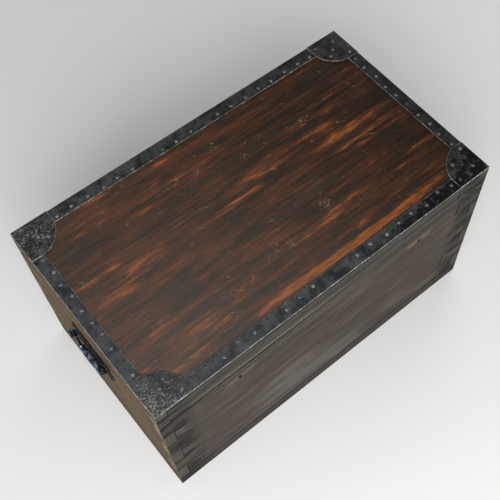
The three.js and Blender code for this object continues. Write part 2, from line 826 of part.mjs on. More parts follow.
function makeHinges() {
  const half = hingeLength / 2 + seatGap;
  const barrelRadius = holeRadius(knuckleRadius, runningGap, knuckleSides);
  const parts = [["body", "back_board", jointHeight, false], ["lid", "lid_rail_back", lidFoot, true]];
  for (const [name, side] of [["left", -1], ["right", 1]]) {
    const centre = side * (halfLength - hingeEndInset);
    const recess = box(
      centre - half,
      centre + half,
      hingeY - leafWidth - seatGap,
      hingeY,
      jointHeight - leafThickness - seatGap,
      lidFoot + leafThickness + seatGap,
    );
    const barrel = rod(barrelRadius, knuckleSides, "x", centre - half, centre + half, hingeY, hingeZ);
    for (const [owner, wood, face, upward] of parts) {
      const spots = screwPlaces(leafScrewPlaces(centre), face, upward);
      const screws = scattered(turned(screwProfile(0), screwSides), spots);
      const holes = scattered(turned(screwProfile(seatGap), screwSides), spots);
      const leaf = makeLeaf(centre, owner === "body").add(screws);
      addPiece(`hinge_leaf_${owner}_${name}`, leaf, "hinge");
      cutPiece(wood, [recess, barrel, holes]);
    }
    const pinHalf = hingeLength / 2 - seatGap;
    const pin = rod(hingePinRadius, knuckleSides, "x", centre - pinHalf, centre + pinHalf, hingeY, hingeZ);
    addPiece(`hinge_pin_${name}`, pin, "hinge");
  }
}

// Handles. A side is -1 for the left end and 1 for the right end.

const earHole = holeRadius(bailRadius, seatGap, bailSides);

function handlePlateShape() {
  const half = handlePlateLength / 2;
  const shape = new THREE.Shape();
  const r = handlePlateRadius;
  shape.moveTo(-half + r, plateFoot);
  shape.lineTo(half - r, plateFoot);
  shape.absarc(half - r, plateFoot + r, r, -Math.PI / 2, 0, false);
  shape.lineTo(half, plateHead - r);
  shape.absarc(half - r, plateHead - r, r, 0, Math.PI / 2, false);
  shape.lineTo(-half + r, plateHead);
  shape.absarc(-half + r, plateHead - r, r, Math.PI / 2, Math.PI, false);
  shape.lineTo(-half, plateFoot + r);
  shape.absarc(-half + r, plateFoot + r, r, Math.PI, 1.5 * Math.PI, false);
  return shape;
}

// Seen along the trunk's width: a round boss on a foot that spreads into the plate.
function earShape(side) {
  const face = side * (halfLength + seatGap + handlePlateThickness / 2);
  const axis = side * (halfLength + handleStandOff);
  const shape = new THREE.Shape();
  shape.moveTo(face, handleHeight + earRadius);
  shape.lineTo(face, handleHeight - earRadius);
  for (let step = 0; step <= earSteps; step += 1) {
    const angle = -Math.PI / 2 + (step / earSteps) * Math.PI;
    shape.lineTo(axis + side * earRadius * Math.cos(angle), handleHeight + earRadius * Math.sin(angle));
  }
  return shape;
}

function makeHandlePlate(side) {
  const faces = [side * (halfLength + seatGap), side * (halfLength + seatGap + handlePlateThickness)];
  const plate = prismFromShape(handlePlateShape(), "x", ...faces, handlePlateSteps);
  const ears = [-1, 1].map((end) => {
    const centre = (end * earSpacing) / 2;
    return prismFromShape(earShape(side), "y", centre - earWidth / 2, centre + earWidth / 2, 1);
  });
  const hole = rod(
    earHole,
    bailSides,
    "y",
    -earSpacing,
    earSpacing,
    side * (halfLength + handleStandOff),
    handleHeight,
  );
  return cut(union([plate, ...ears]), [hole]);
}

// A round bar swept along a path in the plane x = axis, as rings joined side by side.
function bentBar(stations, radius, sides) {
  const positions = [];
  const triangles = [];
  stations.forEach(({ centre, heading }) => {
    const across = new THREE.Vector3(1, 0, 0);
    const up = new THREE.Vector3().crossVectors(heading, across);
    for (let side = 0; side < sides; side += 1) {
      const angle = ((side + 0.5) / sides) * 2 * Math.PI;
      const point = centre.clone();
      point.addScaledVector(across, radius * Math.cos(angle));
      point.addScaledVector(up, radius * Math.sin(angle));
      positions.push(...point.toArray());
    }
  });
  const last = stations.length - 1;
  for (let ring = 0; ring < last; ring += 1) {
    for (let side = 0; side < sides; side += 1) {
      const next = (side + 1) % sides;
      const a = ring * sides + side;
      const b = ring * sides + next;
      triangles.push(a, b, b + sides, a, b + sides, a + sides);
    }
  }
  for (let side = 1; side < sides - 1; side += 1) {
    triangles.push(0, side + 1, side);
    triangles.push(last * sides, last * sides + side, last * sides + side + 1);
  }
  const geometry = new THREE.BufferGeometry();
  geometry.setAttribute("position", new THREE.Float32BufferAttribute(positions, 3));
  geometry.setIndex(triangles);
  return solidFrom(geometry);
}

// Straight runs joined by round bends, from corner points in the plane x = axis.
function bailStations(corners) {
  const stations = [];
  const headingOf = (from, to) => to.clone().sub(from).normalize();
  const firstHeading = headingOf(corners[0], corners[1]);
  stations.push({ centre: corners[0], heading: firstHeading });
  for (let corner = 1; corner < corners.length - 1; corner += 1) {
    const before = headingOf(corners[corner - 1], corners[corner]);
    const after = headingOf(corners[corner], corners[corner + 1]);
    const start = corners[corner].clone().addScaledVector(before, -bailBendRadius);
    const hub = start.clone().addScaledVector(after, bailBendRadius);
    for (let step = 0; step <= bailBendSteps; step += 1) {
      const angle = (step / bailBendSteps) * (Math.PI / 2);
      const centre = hub.clone();
      centre.addScaledVector(after, -bailBendRadius * Math.cos(angle));
      centre.addScaledVector(before, bailBendRadius * Math.sin(angle));
      const heading = before.clone().multiplyScalar(Math.cos(angle));
      heading.addScaledVector(after, Math.sin(angle));
      stations.push({ centre, heading });
    }
  }
  const end = corners.length - 1;
  stations.push({ centre: corners[end], heading: headingOf(corners[end - 1], corners[end]) });
  return stations;
}

const earOuter = (earSpacing + earWidth) / 2;
const earInner = (earSpacing - earWidth) / 2;
const bailArm = earInner - runningGap - bailBendRadius;
const gripHalf = bailArm - bailBendRadius - runningGap;

function makeBail(side) {
  const axis = side * (halfLength + handleStandOff);
  const tip = earOuter + runningGap + bailHeadLength / 2;
  const low = handleHeight - bailDrop;
  const corners = [
    [tip, handleHeight],
    [bailArm, handleHeight],
    [bailArm, low],
    [-bailArm, low],
    [-bailArm, handleHeight],
    [-tip, handleHeight],
  ].map(([y, z]) => new THREE.Vector3(axis, y, z));
  const bar = bentBar(bailStations(corners), bailRadius, bailSides);
  const heads = [-1, 1].map((end) => {
    const inner = end * (earOuter + runningGap);
    const outer = inner + end * bailHeadLength;
    return rod(bailHeadRadius, bailSides, "y", inner, outer, axis, handleHeight);
  });
  return union([bar, ...heads]);
}

// The grip is turned: a swelling barrel, ringed in the middle, between a neck and a collar at each end.
function makeGrip(side) {
  const bore = holeRadius(bailRadius, seatGap, gripSides);
  const rightHalf = [...gripNeckShares, ...gripBarrelShares].map(([along, across]) => [
    across * gripRadius,
    along * gripHalf,
  ]);
  const leftHalf = rightHalf.slice(0, -1).map(([radius, along]) => [radius, -along]);
  const boreEnd = [bore, -gripHalf];
  const profile = [boreEnd, ...leftHalf, ...rightHalf.reverse(), [bore, gripHalf], boreEnd];
  const geometry = turned(profile, gripSides);
  geometry.translate(side * (halfLength + handleStandOff), 0, handleHeight - bailDrop);
  return solidFrom(geometry);
}

// Domed screws that hold a handle's plate, each in a hole through the plate and into the board
function addPlateScrews(name, side) {
  const face = side * (halfLength + 2 * seatGap + handlePlateThickness);
  const depth = handlePlateThickness + screwLength;
  const holeOutline = [
    [0, -depth - seatGap],
    [screwShankRadius + seatGap, -depth - seatGap],
    [screwShankRadius + seatGap, cutOverrun],
    [0, cutOverrun],
  ];
  const screwOutline = [
    [0, -depth],
    [screwShankRadius, -depth],
    [screwShankRadius, 0],
    [plateScrewHeadRadius, 0],
    [plateScrewDomeShare * plateScrewHeadRadius, plateScrewDomeShare * plateScrewHeadHeight],
    [0, plateScrewHeadHeight],
  ];
  const turn = new THREE.Matrix4().makeRotationZ((-side * Math.PI) / 2);
  const acrossPlate = handlePlateLength / 2 - plateScrewInset;
  const heights = [plateFoot + plateScrewInset, plateHead - plateScrewInset];
  const spots = [-acrossPlate, acrossPlate].flatMap((y) =>
    heights.map((z) => placed(face, y, z).multiply(turn)),
  );
  spots.forEach((spot, index) => {
    const screw = scattered(turned(screwOutline, screwSides), [spot]);
    addPiece(`handle_screw_${name}_${index + 1}`, screw, "handle");
    const hole = scattered(turned(holeOutline, screwSides), [spot]);
    for (const piece of [`handle_plate_${name}`, `${name}_end_board`]) cutPiece(piece, [hole]);
  });
}

function makeHandles() {
  for (const [name, side] of [["left", -1], ["right", 1]]) {
    addPiece(`handle_plate_${name}`, makeHandlePlate(side), "handle");
    addPlateScrews(name, side);
    addPiece(`bail_${name}`, makeBail(side), "handle");
    addPiece(`grip_${name}`, makeGrip(side), "handle");
  }
}

makeWalls();
makeBase();
makeFloor();
makeBaseNails();
makeLidFrame();
makeTop();
makeStrips();
makeCornerPlates();
makeStripNails();
makePlateNails();
makeHinges();
makeHandles();

const trunk = new THREE.Group();
for (const [name, { solid, finish }] of Object.entries(pieces)) {
  const mesh = new THREE.Mesh(geometryFrom(solid), finishes[finish]());
  mesh.name = name;
  trunk.add(mesh);
}

export default trunk;
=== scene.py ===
import math
import random

import bmesh
import bpy
from mathutils import Matrix, Vector, noise


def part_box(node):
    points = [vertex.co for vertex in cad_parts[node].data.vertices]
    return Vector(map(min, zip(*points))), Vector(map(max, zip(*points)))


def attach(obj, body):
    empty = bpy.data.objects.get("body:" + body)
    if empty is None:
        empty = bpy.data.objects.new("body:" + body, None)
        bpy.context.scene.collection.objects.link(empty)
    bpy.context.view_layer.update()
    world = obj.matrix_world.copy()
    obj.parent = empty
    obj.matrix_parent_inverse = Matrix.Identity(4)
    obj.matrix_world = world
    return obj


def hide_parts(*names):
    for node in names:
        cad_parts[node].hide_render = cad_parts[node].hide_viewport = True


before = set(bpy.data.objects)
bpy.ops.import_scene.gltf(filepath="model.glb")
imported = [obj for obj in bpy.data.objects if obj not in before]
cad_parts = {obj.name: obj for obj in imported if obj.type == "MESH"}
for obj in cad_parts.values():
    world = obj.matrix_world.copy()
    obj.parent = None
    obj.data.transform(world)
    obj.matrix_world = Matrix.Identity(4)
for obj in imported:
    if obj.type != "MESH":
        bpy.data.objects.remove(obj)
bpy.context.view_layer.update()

# sizes that several pieces share, in metres
trunk = {
    "halfLength": 0.457,
    "halfWidth": 0.265,
    "plateTop": 0.484,
    "stripTop": 0.4817,
    "ironFoot": 0.4797,
    "woodTop": 0.4794,
    "joint": 0.414,
    "lidFoot": 0.4143,
    "baseHead": 0.042,
}
dice = random.Random(1880)


# Camera, lamps and floor

view = {
    "place": (-0.584009, -0.818141, 2.024673),
    "right": (0.7666065, -0.6420479, 0.0094355),
    "up": (0.5586601, 0.6741417, 0.4831479),
    "backward": (-0.3165650, -0.3651131, 0.8754879),
    "lens": 60.55,
    "sensor": 36,
    "shift": (-0.0964, 0.0208),
}
lamps = [
    {"name": "keyLamp", "place": (-1.5, -2.2, 2.3), "size": (2.6, 2.2), "power": 112},
    {"name": "fillLamp", "place": (3.0, 1.8, 1.3), "size": (2.4, 2.0), "power": 26},
]
studio = {
    "lampTarget": (0, 0, 0.25),
    "worldGrey": 0.3,
    "floorColour": (247, 247, 246.4),
    "floorRoughness": 0.9,
    "floorReach": 14,
}


def addObject(name, data):
    made = bpy.data.objects.new(name, data)
    bpy.context.scene.collection.objects.link(made)
    return made


def addCamera():
    data = bpy.data.cameras.new("camera")
    data.lens = view["lens"]
    data.sensor_width = view["sensor"]
    data.shift_x, data.shift_y = view["shift"]
    turn = Matrix((view["right"], view["up"], view["backward"])).transposed()
    camera = addObject("camera", data)
    camera.matrix_world = Matrix.Translation(view["place"]) @ turn.to_4x4()
    bpy.context.scene.camera = camera


def addLamp(lamp):
    data = bpy.data.lights.new(lamp["name"], "AREA")
    data.shape = "RECTANGLE"
    data.size, data.size_y = lamp["size"]
    data.energy = lamp["power"]
    towards = Vector(studio["lampTarget"]) - Vector(lamp["place"])
    turn = towards.to_track_quat("-Z", "Y").to_matrix()
    made = addObject(lamp["name"], data)
    made.matrix_world = Matrix.Translation(lamp["place"]) @ turn.to_4x4()


def addWorld():
    world = bpy.data.worlds.new("studio")
    bpy.context.scene.world = world
    world.use_nodes = True
    background = world.node_tree.nodes["Background"]
    background.inputs["Color"].default_value = (*[studio["worldGrey"]] * 3, 1)
    background.inputs["Strength"].default_value = 1


def addFloor():
    mesh = bmesh.new()
    bmesh.ops.create_grid(mesh, x_segments=1, y_segments=1, size=studio["floorReach"])
    data = bpy.data.meshes.new("floor")
    mesh.to_mesh(data)
    mesh.free()
    paint = Paint("floorPaint").finish(studio["floorColour"], studio["floorRoughness"])
    data.materials.append(paint.material)
    addObject("floor", data)


# Shader sockets and what every material is made with

def worked(operation, swapped=False):
    def method(wire, other):
        sides = (other, wire) if swapped else (wire, other)
        hasVector = any(isinstance(s, tuple) or isinstance(s, Wire) and s.isVector() for s in sides)
        return wire.paint.math(operation, *sides, hasVector)
    return method


class Wire:
    # one socket of a material, to be reckoned with like a number
    def __init__(self, paint, socket):
        self.paint = paint
        self.socket = socket

    def isVector(self):
        return self.socket.type == "VECTOR"

    def __abs__(self):
        return self.paint.math("ABSOLUTE", self, 0, self.isVector())

    __add__ = __radd__ = worked("ADD")
    __sub__ = worked("SUBTRACT")
    __rsub__ = worked("SUBTRACT", True)
    __mul__ = __rmul__ = worked("MULTIPLY")


def tint(level):
    # one channel of a colour as a screen shows it, 0 to 255, in the linear terms of a shader
    share = level / 255
    return share / 12.92 if share <= 0.04045 else ((share + 0.055) / 1.055) ** 2.4


class Paint:
    # a material, whose look holds its colours and other values by name
    def __init__(self, name, look=None):
        self.material = bpy.data.materials.new(name)
        self.material.use_nodes = True
        self.tree = self.material.node_tree
        self.shader = self.tree.nodes["Principled BSDF"]
        self.look = look
        self.place = self.node("ShaderNodeTexCoord", output="Object")

    def feed(self, socket, value):
        if isinstance(value, Wire):
            self.tree.links.new(value.socket, socket)
        elif socket.type == "RGBA":
            socket.default_value = (*[tint(level) for level in value], 1)
        elif socket.type == "VECTOR" and not isinstance(value, tuple):
            socket.default_value = (value,) * 3
        else:
            socket.default_value = value

    def node(self, kind, settings=None, inputs=None, output=0):
        made = self.tree.nodes.new(kind)
        for setting, value in (settings or {}).items():
            if setting == "stops":
                self.setStops(made.color_ramp, value)
            else:
                setattr(made, setting, value)
        for socket, value in (inputs or {}).items():
            self.feed(made.inputs[socket], value)
        return Wire(self, made.outputs[output])

    def setStops(self, ramp, stops):
        ramp.interpolation = "EASE"
        while len(ramp.elements) < len(stops):
            ramp.elements.new(1)
        for element, (position, level) in zip(ramp.elements, stops):
            element.position = position
            element.color = (level, level, level, 1)

    def finish(self, colour, roughness, gloss=0.5, normal=None, metal=0.0):
        sockets = {"Base Color": colour, "Roughness": roughness, "Metallic": metal}
        sockets["Specular IOR Level"] = gloss
        if normal:
            sockets["Normal"] = normal
        for socket, value in sockets.items():
            self.feed(self.shader.inputs[socket], value)
        return self

    def noise(self, scale, detail=3, roughness=0.55, place=None):
        place = (place or self.place) * scale
        inputs = {"Vector": place, "Scale": 1, "Detail": detail, "Roughness": roughness}
        return self.node("ShaderNodeTexNoise", {}, inputs)

    def drawn(self, along, across, detail=3, roughness=0.55, place=None):
        # noise that is drawn out along the grain
        scale = tuple(along if i == self.look["axis"] else across for i in range(3))
        return self.noise(scale, detail, roughness, place)

    def step(self, value, low, high):
        # 0 below low and 1 above high, or the other way about where low is the larger
        settings = {"interpolation_type": "SMOOTHSTEP"}
        inputs = {"Value": value, "From Min": min(low, high), "From Max": max(low, high)}
        rise = self.node("ShaderNodeMapRange", settings, inputs)
        return rise if low < high else 1 - rise

    def blend(self, a, b, share):
        return self.node("ShaderNodeMix", {"data_type": "RGBA"}, {0: share, 6: a, 7: b}, 2)

    def coats(self, colour, *coats):
        # the look's colours one over another, each with its share, or with what it follows, the limits
        # between which that counts, and the largest share
        for tone, *where in coats:
            share = where[0] if len(where) == 1 else self.step(*where[:3]) * where[3]
            colour = self.blend(colour, self.look[tone], share)
        return colour

    def math(self, operation, a, b, isVector=False):
        kind = "ShaderNodeVectorMath" if isVector else "ShaderNodeMath"
        return self.node(kind, {"operation": operation}, {0: a, 1: b})

    def larger(self, *values):
        most = values[0]
        for value in values[1:]:
            most = self.math("MAXIMUM", most, value)
        return most

    def length(self, vector):
        return self.node("ShaderNodeVectorMath", {"operation": "LENGTH"}, {0: vector}, "Value")

    def part(self, vector, name):
        return self.node("ShaderNodeSeparateXYZ", {}, {0: vector}, name)

    def at(self, name):
        return self.part(self.place, name)

    def near(self, value, middle, reach):
        # 1 where the value is at the middle, 0 from reach away on
        return self.step(abs(value - middle), reach, reach * 0.4)

    def spot(self, centre, reach):
        # 1 at the centre, 0 from reach on, which is three lengths, None where it has no end
        scale = tuple(0 if r is None else 1 / r for r in reach)
        return self.step(self.length((self.place - centre) * scale), 1, 0.15)

    def bump(self, height, depth, strength=1):
        inputs = {"Height": height, "Distance": depth, "Strength": strength}
        return self.node("ShaderNodeBump", {}, inputs)


def scratches(paint, facing, runs):
    # thin lines at an angle to the grain, each run on its share of the surface
    lines = []
    for angle, along, across, width, share in runs:
        inputs = {"Vector": paint.place, "Axis": facing, "Angle": angle}
        turned = paint.node("ShaderNodeVectorRotate", {"rotation_type": "AXIS_ANGLE"}, inputs)
        ridge = abs(paint.drawn(along, across, 1, place=turned) - 0.5)
        where = paint.drawn(22, 60, 2, place=turned)
        limit = 0.7 - share * 0.3
        lines.append(paint.step(ridge, width, width * 0.3) * paint.step(where, limit, limit + 0.06))
    return paint.larger(*lines)


def spots(paint, marks, standing=False, spread=1.0):
    # marks on the top, or on the front and the back, each with its middle, half sizes and strength
    total = 0
    for x, across, halfLength, halfAcross, strength in marks:
        centre = [x / 1000, across / 1000]
        reach = [halfLength / 1000, halfAcross * spread / 1000]
        endless = 1 if standing else 2
        centre.insert(endless, 0.0)
        reach.insert(endless, None)
        total = total + paint.spot(tuple(centre), reach) * strength
    return total


def fromEdges(paint):
    # how far in a place is from the trunk's ends and sides
    inward = (trunk["halfLength"], trunk["halfWidth"], 0.0) - abs(paint.place)
    return inward, paint.part(inward, "X"), paint.part(inward, "Y")


# Wood

def grainOf(paint):
    # what every wood starts from: its grain, seen at four scales
    look = paint.look
    sway = tuple(0.0 if i == look["axis"] else look["sway"] for i in range(3))
    place = paint.place + (paint.drawn(2.2, 9, 2) - 0.5) * sway
    bands = paint.drawn(1.6, 42, place=place)
    figure = paint.drawn(7, 120, 5, 0.62, place)
    fibres = paint.drawn(26, 430, place=place)
    pores = paint.step(paint.drawn(60, 1500, 1, place=place), 0.6, 0.7)
    colour = paint.blend(look["dark"], look["mid"], paint.step(figure * 0.55 + bands * 0.45, 0.38, 0.62))
    return {
        "figure": figure,
        "fibres": fibres,
        "clouds": paint.noise(9.0, 4, 0.6),
        "height": fibres * 0.5 + figure * 0.5 - pores * 0.8,
        "colour": paint.coats(
            colour,
            ("light", paint.step(fibres * 0.45 + bands * 0.55, 0.5, 0.72) * look["streaks"]),
            ("pore", pores * look["poreShare"]),
        ),
    }


def rubbedEdge(name, look):
    # worn pale where the arris is at one of the trunk's corners, and full of dirt in the joints
    paint = Paint(name, look)
    grain = grainOf(paint)
    corner = paint.step(paint.larger(*fromEdges(paint)[1:]), 0.0035, 0.0015)
    chips = paint.noise(130.0)
    share = paint.step(chips * 0.6 + grain["clouds"] * 0.4, 0.4, 0.56)
    dirty = paint.blend(look["stain"], grain["colour"], chips * 0.35)
    rubbed = paint.blend(grain["colour"], look["rubbed"], share * look["edgeWear"])
    colour = paint.blend(dirty, rubbed, corner)
    return paint.finish(colour, look["roughness"] + 0.1, look["gloss"], paint.bump(grain["height"], 0.0003))


topWood = {
    "axis": 0,
    "sway": 0.007,
    "dark": (38, 29, 19), "mid": (61, 42, 23), "light": (90, 56, 28),
    "pore": (26, 19, 12), "stain": (50, 38, 30), "rubbed": (108, 60, 32),
    "red": (98, 52, 30), "orange": (168, 93, 42), "gloom": (45, 41, 30),
    "deep": (24, 17, 11), "veil": (126, 120, 116), "pale": (180, 138, 104),
    # how strong the painted sheen towards the near left corner is
    "paintedSheenShare": 0.3,
    # how dark the painted shade towards the right is
    "rightShadeShare": 0.6,
    "streaks": 0.4,
    "poreShare": 0.45,
    "edgeWear": 0.7,
    "roughness": 0.42,
    "gloss": 0.12,
    # how much wider than listed the worn and darkened marks are
    "spread": 1.25,
    # millimetres: middle x and y, half length and half width, strength
    "worn": [
        (110, -218, 390, 11, 1.5), (-20, -218, 260, 12, 0.8), (300, -207, 110, 9, 0.35),
        (-250, -190, 105, 17, 0.75), (-255, -168, 110, 12, 0.6), (-325, -208, 80, 14, 0.6),
        (140, -193, 44, 10, 0.6), (85, -137, 200, 20, 0.7), (95, -134, 50, 14, 0.4),
        (340, -130, 100, 24, 0.2),
        (-350, -110, 110, 14, 0.55), (-362, -5, 90, 12, 0.8), (-300, 30, 160, 26, 0.5),
        (40, 57, 110, 15, 0.85), (-25, 25, 130, 13, 0.65), (295, 18, 150, 16, 0.85),
        (270, -20, 110, 20, 0.65), (170, 95, 46, 12, 0.5), (290, 95, 66, 14, 0.5),
        (230, 61, 80, 12, 0.6), (-265, 225, 46, 14, 1.1), (-110, 215, 26, 10, 0.6),
        (-280, 190, 40, 18, 0.6), (-150, 175, 26, 18, 0.55), (-340, 180, 90, 20, 0.5),
        (-330, 60, 40, 12, 0.5), (-395, 55, 40, 12, 0.5), (-40, 155, 350, 6, 0.5),
        (-420, -175, 30, 14, 0.9), (-425, -30, 24, 12, 0.6), (200, 190, 120, 16, 0.35),
    ],
    "darkened": [
        (100, -60, 210, 16, 0.8), (0, 115, 460, 18, 0.7), (-310, -140, 150, 11, 0.8),
        (150, -203, 200, 8, 0.9), (330, 190, 110, 40, 0.5), (-230, 85, 130, 14, 0.5),
        (330, -165, 110, 20, 0.5),
    ],
    "scratched": [
        (110, -105, 26, 18, 1), (-60, 145, 22, 14, 1), (-130, 150, 60, 16, 0.8), (220, 105, 16, 14, 1),
        (55, 110, 12, 16, 0.8), (230, 12, 26, 12, 1), (-30, -125, 60, 22, 0.8), (-170, 0, 16, 14, 0.6),
        (90, 135, 40, 10, 0.7), (10, 175, 26, 22, 0.5),
    ],
    # angle, scale along and across, width, share
    "fine": [
        (0.5, 9, 120, 0.012, 0.2), (-0.9, 12, 110, 0.01, 0.12),
        (0.15, 7, 110, 0.01, 0.12), (1.35, 16, 110, 0.01, 0.12),
    ],
    "dense": [(1.1, 34, 130, 0.02, 0.9), (2.3, 30, 150, 0.02, 0.9)],
}


def makeTopWood():
    look = topWood
    paint = Paint("topWood", look)
    grain = grainOf(paint)
    figure, fibres, clouds = grain["figure"], grain["fibres"], grain["clouds"]
    drift = paint.drawn(6, 52, 5, 0.66)
    mottle = paint.drawn(26, 90, 4, 0.65)
    leftness = paint.step(paint.at("X"), 0.42, -0.42)
    nearness = paint.step(paint.at("Y"), 0.26, -0.26)
    streaky = (drift - 0.5) * 2.3 + (mottle - 0.5) * 1.2 + (figure - 0.5) * 1.3
    worn = paint.step(spots(paint, look["worn"], spread=look["spread"]) + streaky, -0.12, 1.1)
    darkened = spots(paint, look["darkened"], spread=look["spread"]) + streaky * 0.4
    lit = worn + (figure - 0.5) * 1.6 + (mottle - 0.5) * 1.6 + (fibres - 0.5) * 1.4
    bright = paint.blend(look["rubbed"], look["orange"], paint.step(lit, 0.45, 1.35))
    facing = (0.0, 0.0, 1.0)
    dense = scratches(paint, facing, look["dense"]) * spots(paint, look["scratched"])
    marks = paint.larger(scratches(paint, facing, look["fine"]) * 0.55, dense * 0.75)
    colour = paint.coats(
        grain["colour"],
        ("gloom", mottle * 0.5 + clouds * 0.5, 0.5, 0.36, 0.6),
        ("red", drift * 0.55 + clouds * 0.3 + figure * 0.15, 0.42, 0.6, 0.8),
        # painted shade, darker towards the right
        ("deep", (1 - leftness) * look["rightShadeShare"]),
        ("gloom", darkened, 0.1, 0.8, 0.7),
    )
    colour = paint.coats(
        paint.blend(colour, bright, worn * (leftness * 0.1 + 0.8)),
        ("dark", fibres, 0.48, 0.34, 0.55),
        ("pale", marks),
        ("pale", paint.noise(420.0, 1), 0.7, 0.78, 0.35),
        # a painted sheen, grey, towards the near left corner
        ("veil", leftness * (nearness * 0.58 + 0.42) * look["paintedSheenShare"]),
    )
    roughness = look["roughness"] + worn * 0.1 + (clouds - 0.5) * 0.2
    normal = paint.bump(grain["height"] - marks * 0.7 - worn * 0.5, 0.0005, 0.7)
    return paint.finish(colour, roughness, look["gloss"], normal)


wallWood = {
    "axis": 0,
    "sway": 0.006,
    "dark": (58, 50, 44), "mid": (76, 66, 57), "light": (88, 77, 67),
    "pore": (42, 36, 31), "rubbed": (118, 110, 98), "warm": (64, 56, 38),
    "cool": (108, 103, 96), "shade": (40, 33, 27), "red": (80, 65, 60),
    "pale": (140, 126, 104), "stain": (24, 21, 18), "corner": (56, 56, 48),
    "hollow": (10, 9, 8),
    "pinDepth": 0.43,
    "pinRow": 0.011,
    "pinPitch": 0.062,
    "streaks": 0.3,
    "poreShare": 0.25,
    "edgeWear": 0.6,
    "roughness": 0.46,
    "gloss": 0.06,
    # what a lost hasp left bare
    "haspMark": {"x": 0.257, "z": 0.375, "halfLength": 0.04, "halfHeight": 0.011, "hole": 0.0048},
    # millimetres: middle x and height, half length and half height, strength
    "scuffs": [
        (-130, 180, 170, 120, 0.6), (40, 120, 120, 110, 0.4), (-70, 90, 260, 80, 0.7),
        (120, 185, 60, 26, 0.4), (230, 120, 130, 60, 0.3),
    ],
    "stains": [
        (-5, 325, 34, 28, 0.8), (-330, 60, 130, 34, 0.7), (-12, 230, 26, 36, 0.6), (-330, 330, 90, 60, 0.5),
        (210, 70, 150, 26, 0.8), (70, 300, 90, 40, 0.5), (330, 230, 60, 90, 0.4), (-190, 350, 120, 40, 0.5),
        (230, 340, 200, 60, 0.6),
    ],
    "ruled": [(-140, 418, 340, 45, 1)],
    # the depth of the band below the top's edge, and how light it is at shares of that depth, in lines of
    # painted shade and highlight
    "bandDepth": 0.09,
    "band": [
        (0.0, 0.75), (0.09, 0.2), (0.19, 0.8), (0.42, 0.22), (0.62, 0.75),
        (0.73, 0.2), (0.8, 0.8), (0.92, 0.3), (1.0, 0.5),
    ],
    "fine": [(0.25, 8, 110, 0.012, 0.3), (1.4, 9, 120, 0.012, 0.3)],
}


def jointDirtAndShade(paint, clouds, lidShare=0.7):
    # dirt in the line above the base rails and in the line under the lid, darker towards the bottom, and a
    # line of dirt and painted shadow under the iron's edge
    height = paint.at("Z") + (clouds - 0.5) * 0.004
    foot = paint.step(height, trunk["baseHead"] + 0.004, 0.01) * 0.6
    base = paint.near(height, trunk["baseHead"], 0.008)
    lid = paint.near(height, trunk["joint"], 0.003) * lidShare
    # dirt and a painted shadow just under the iron strips
    lip = paint.step(height, trunk["woodTop"] - 0.0055, trunk["woodTop"] - 0.002) * 0.8
    return paint.larger(foot, base, lid, lip)


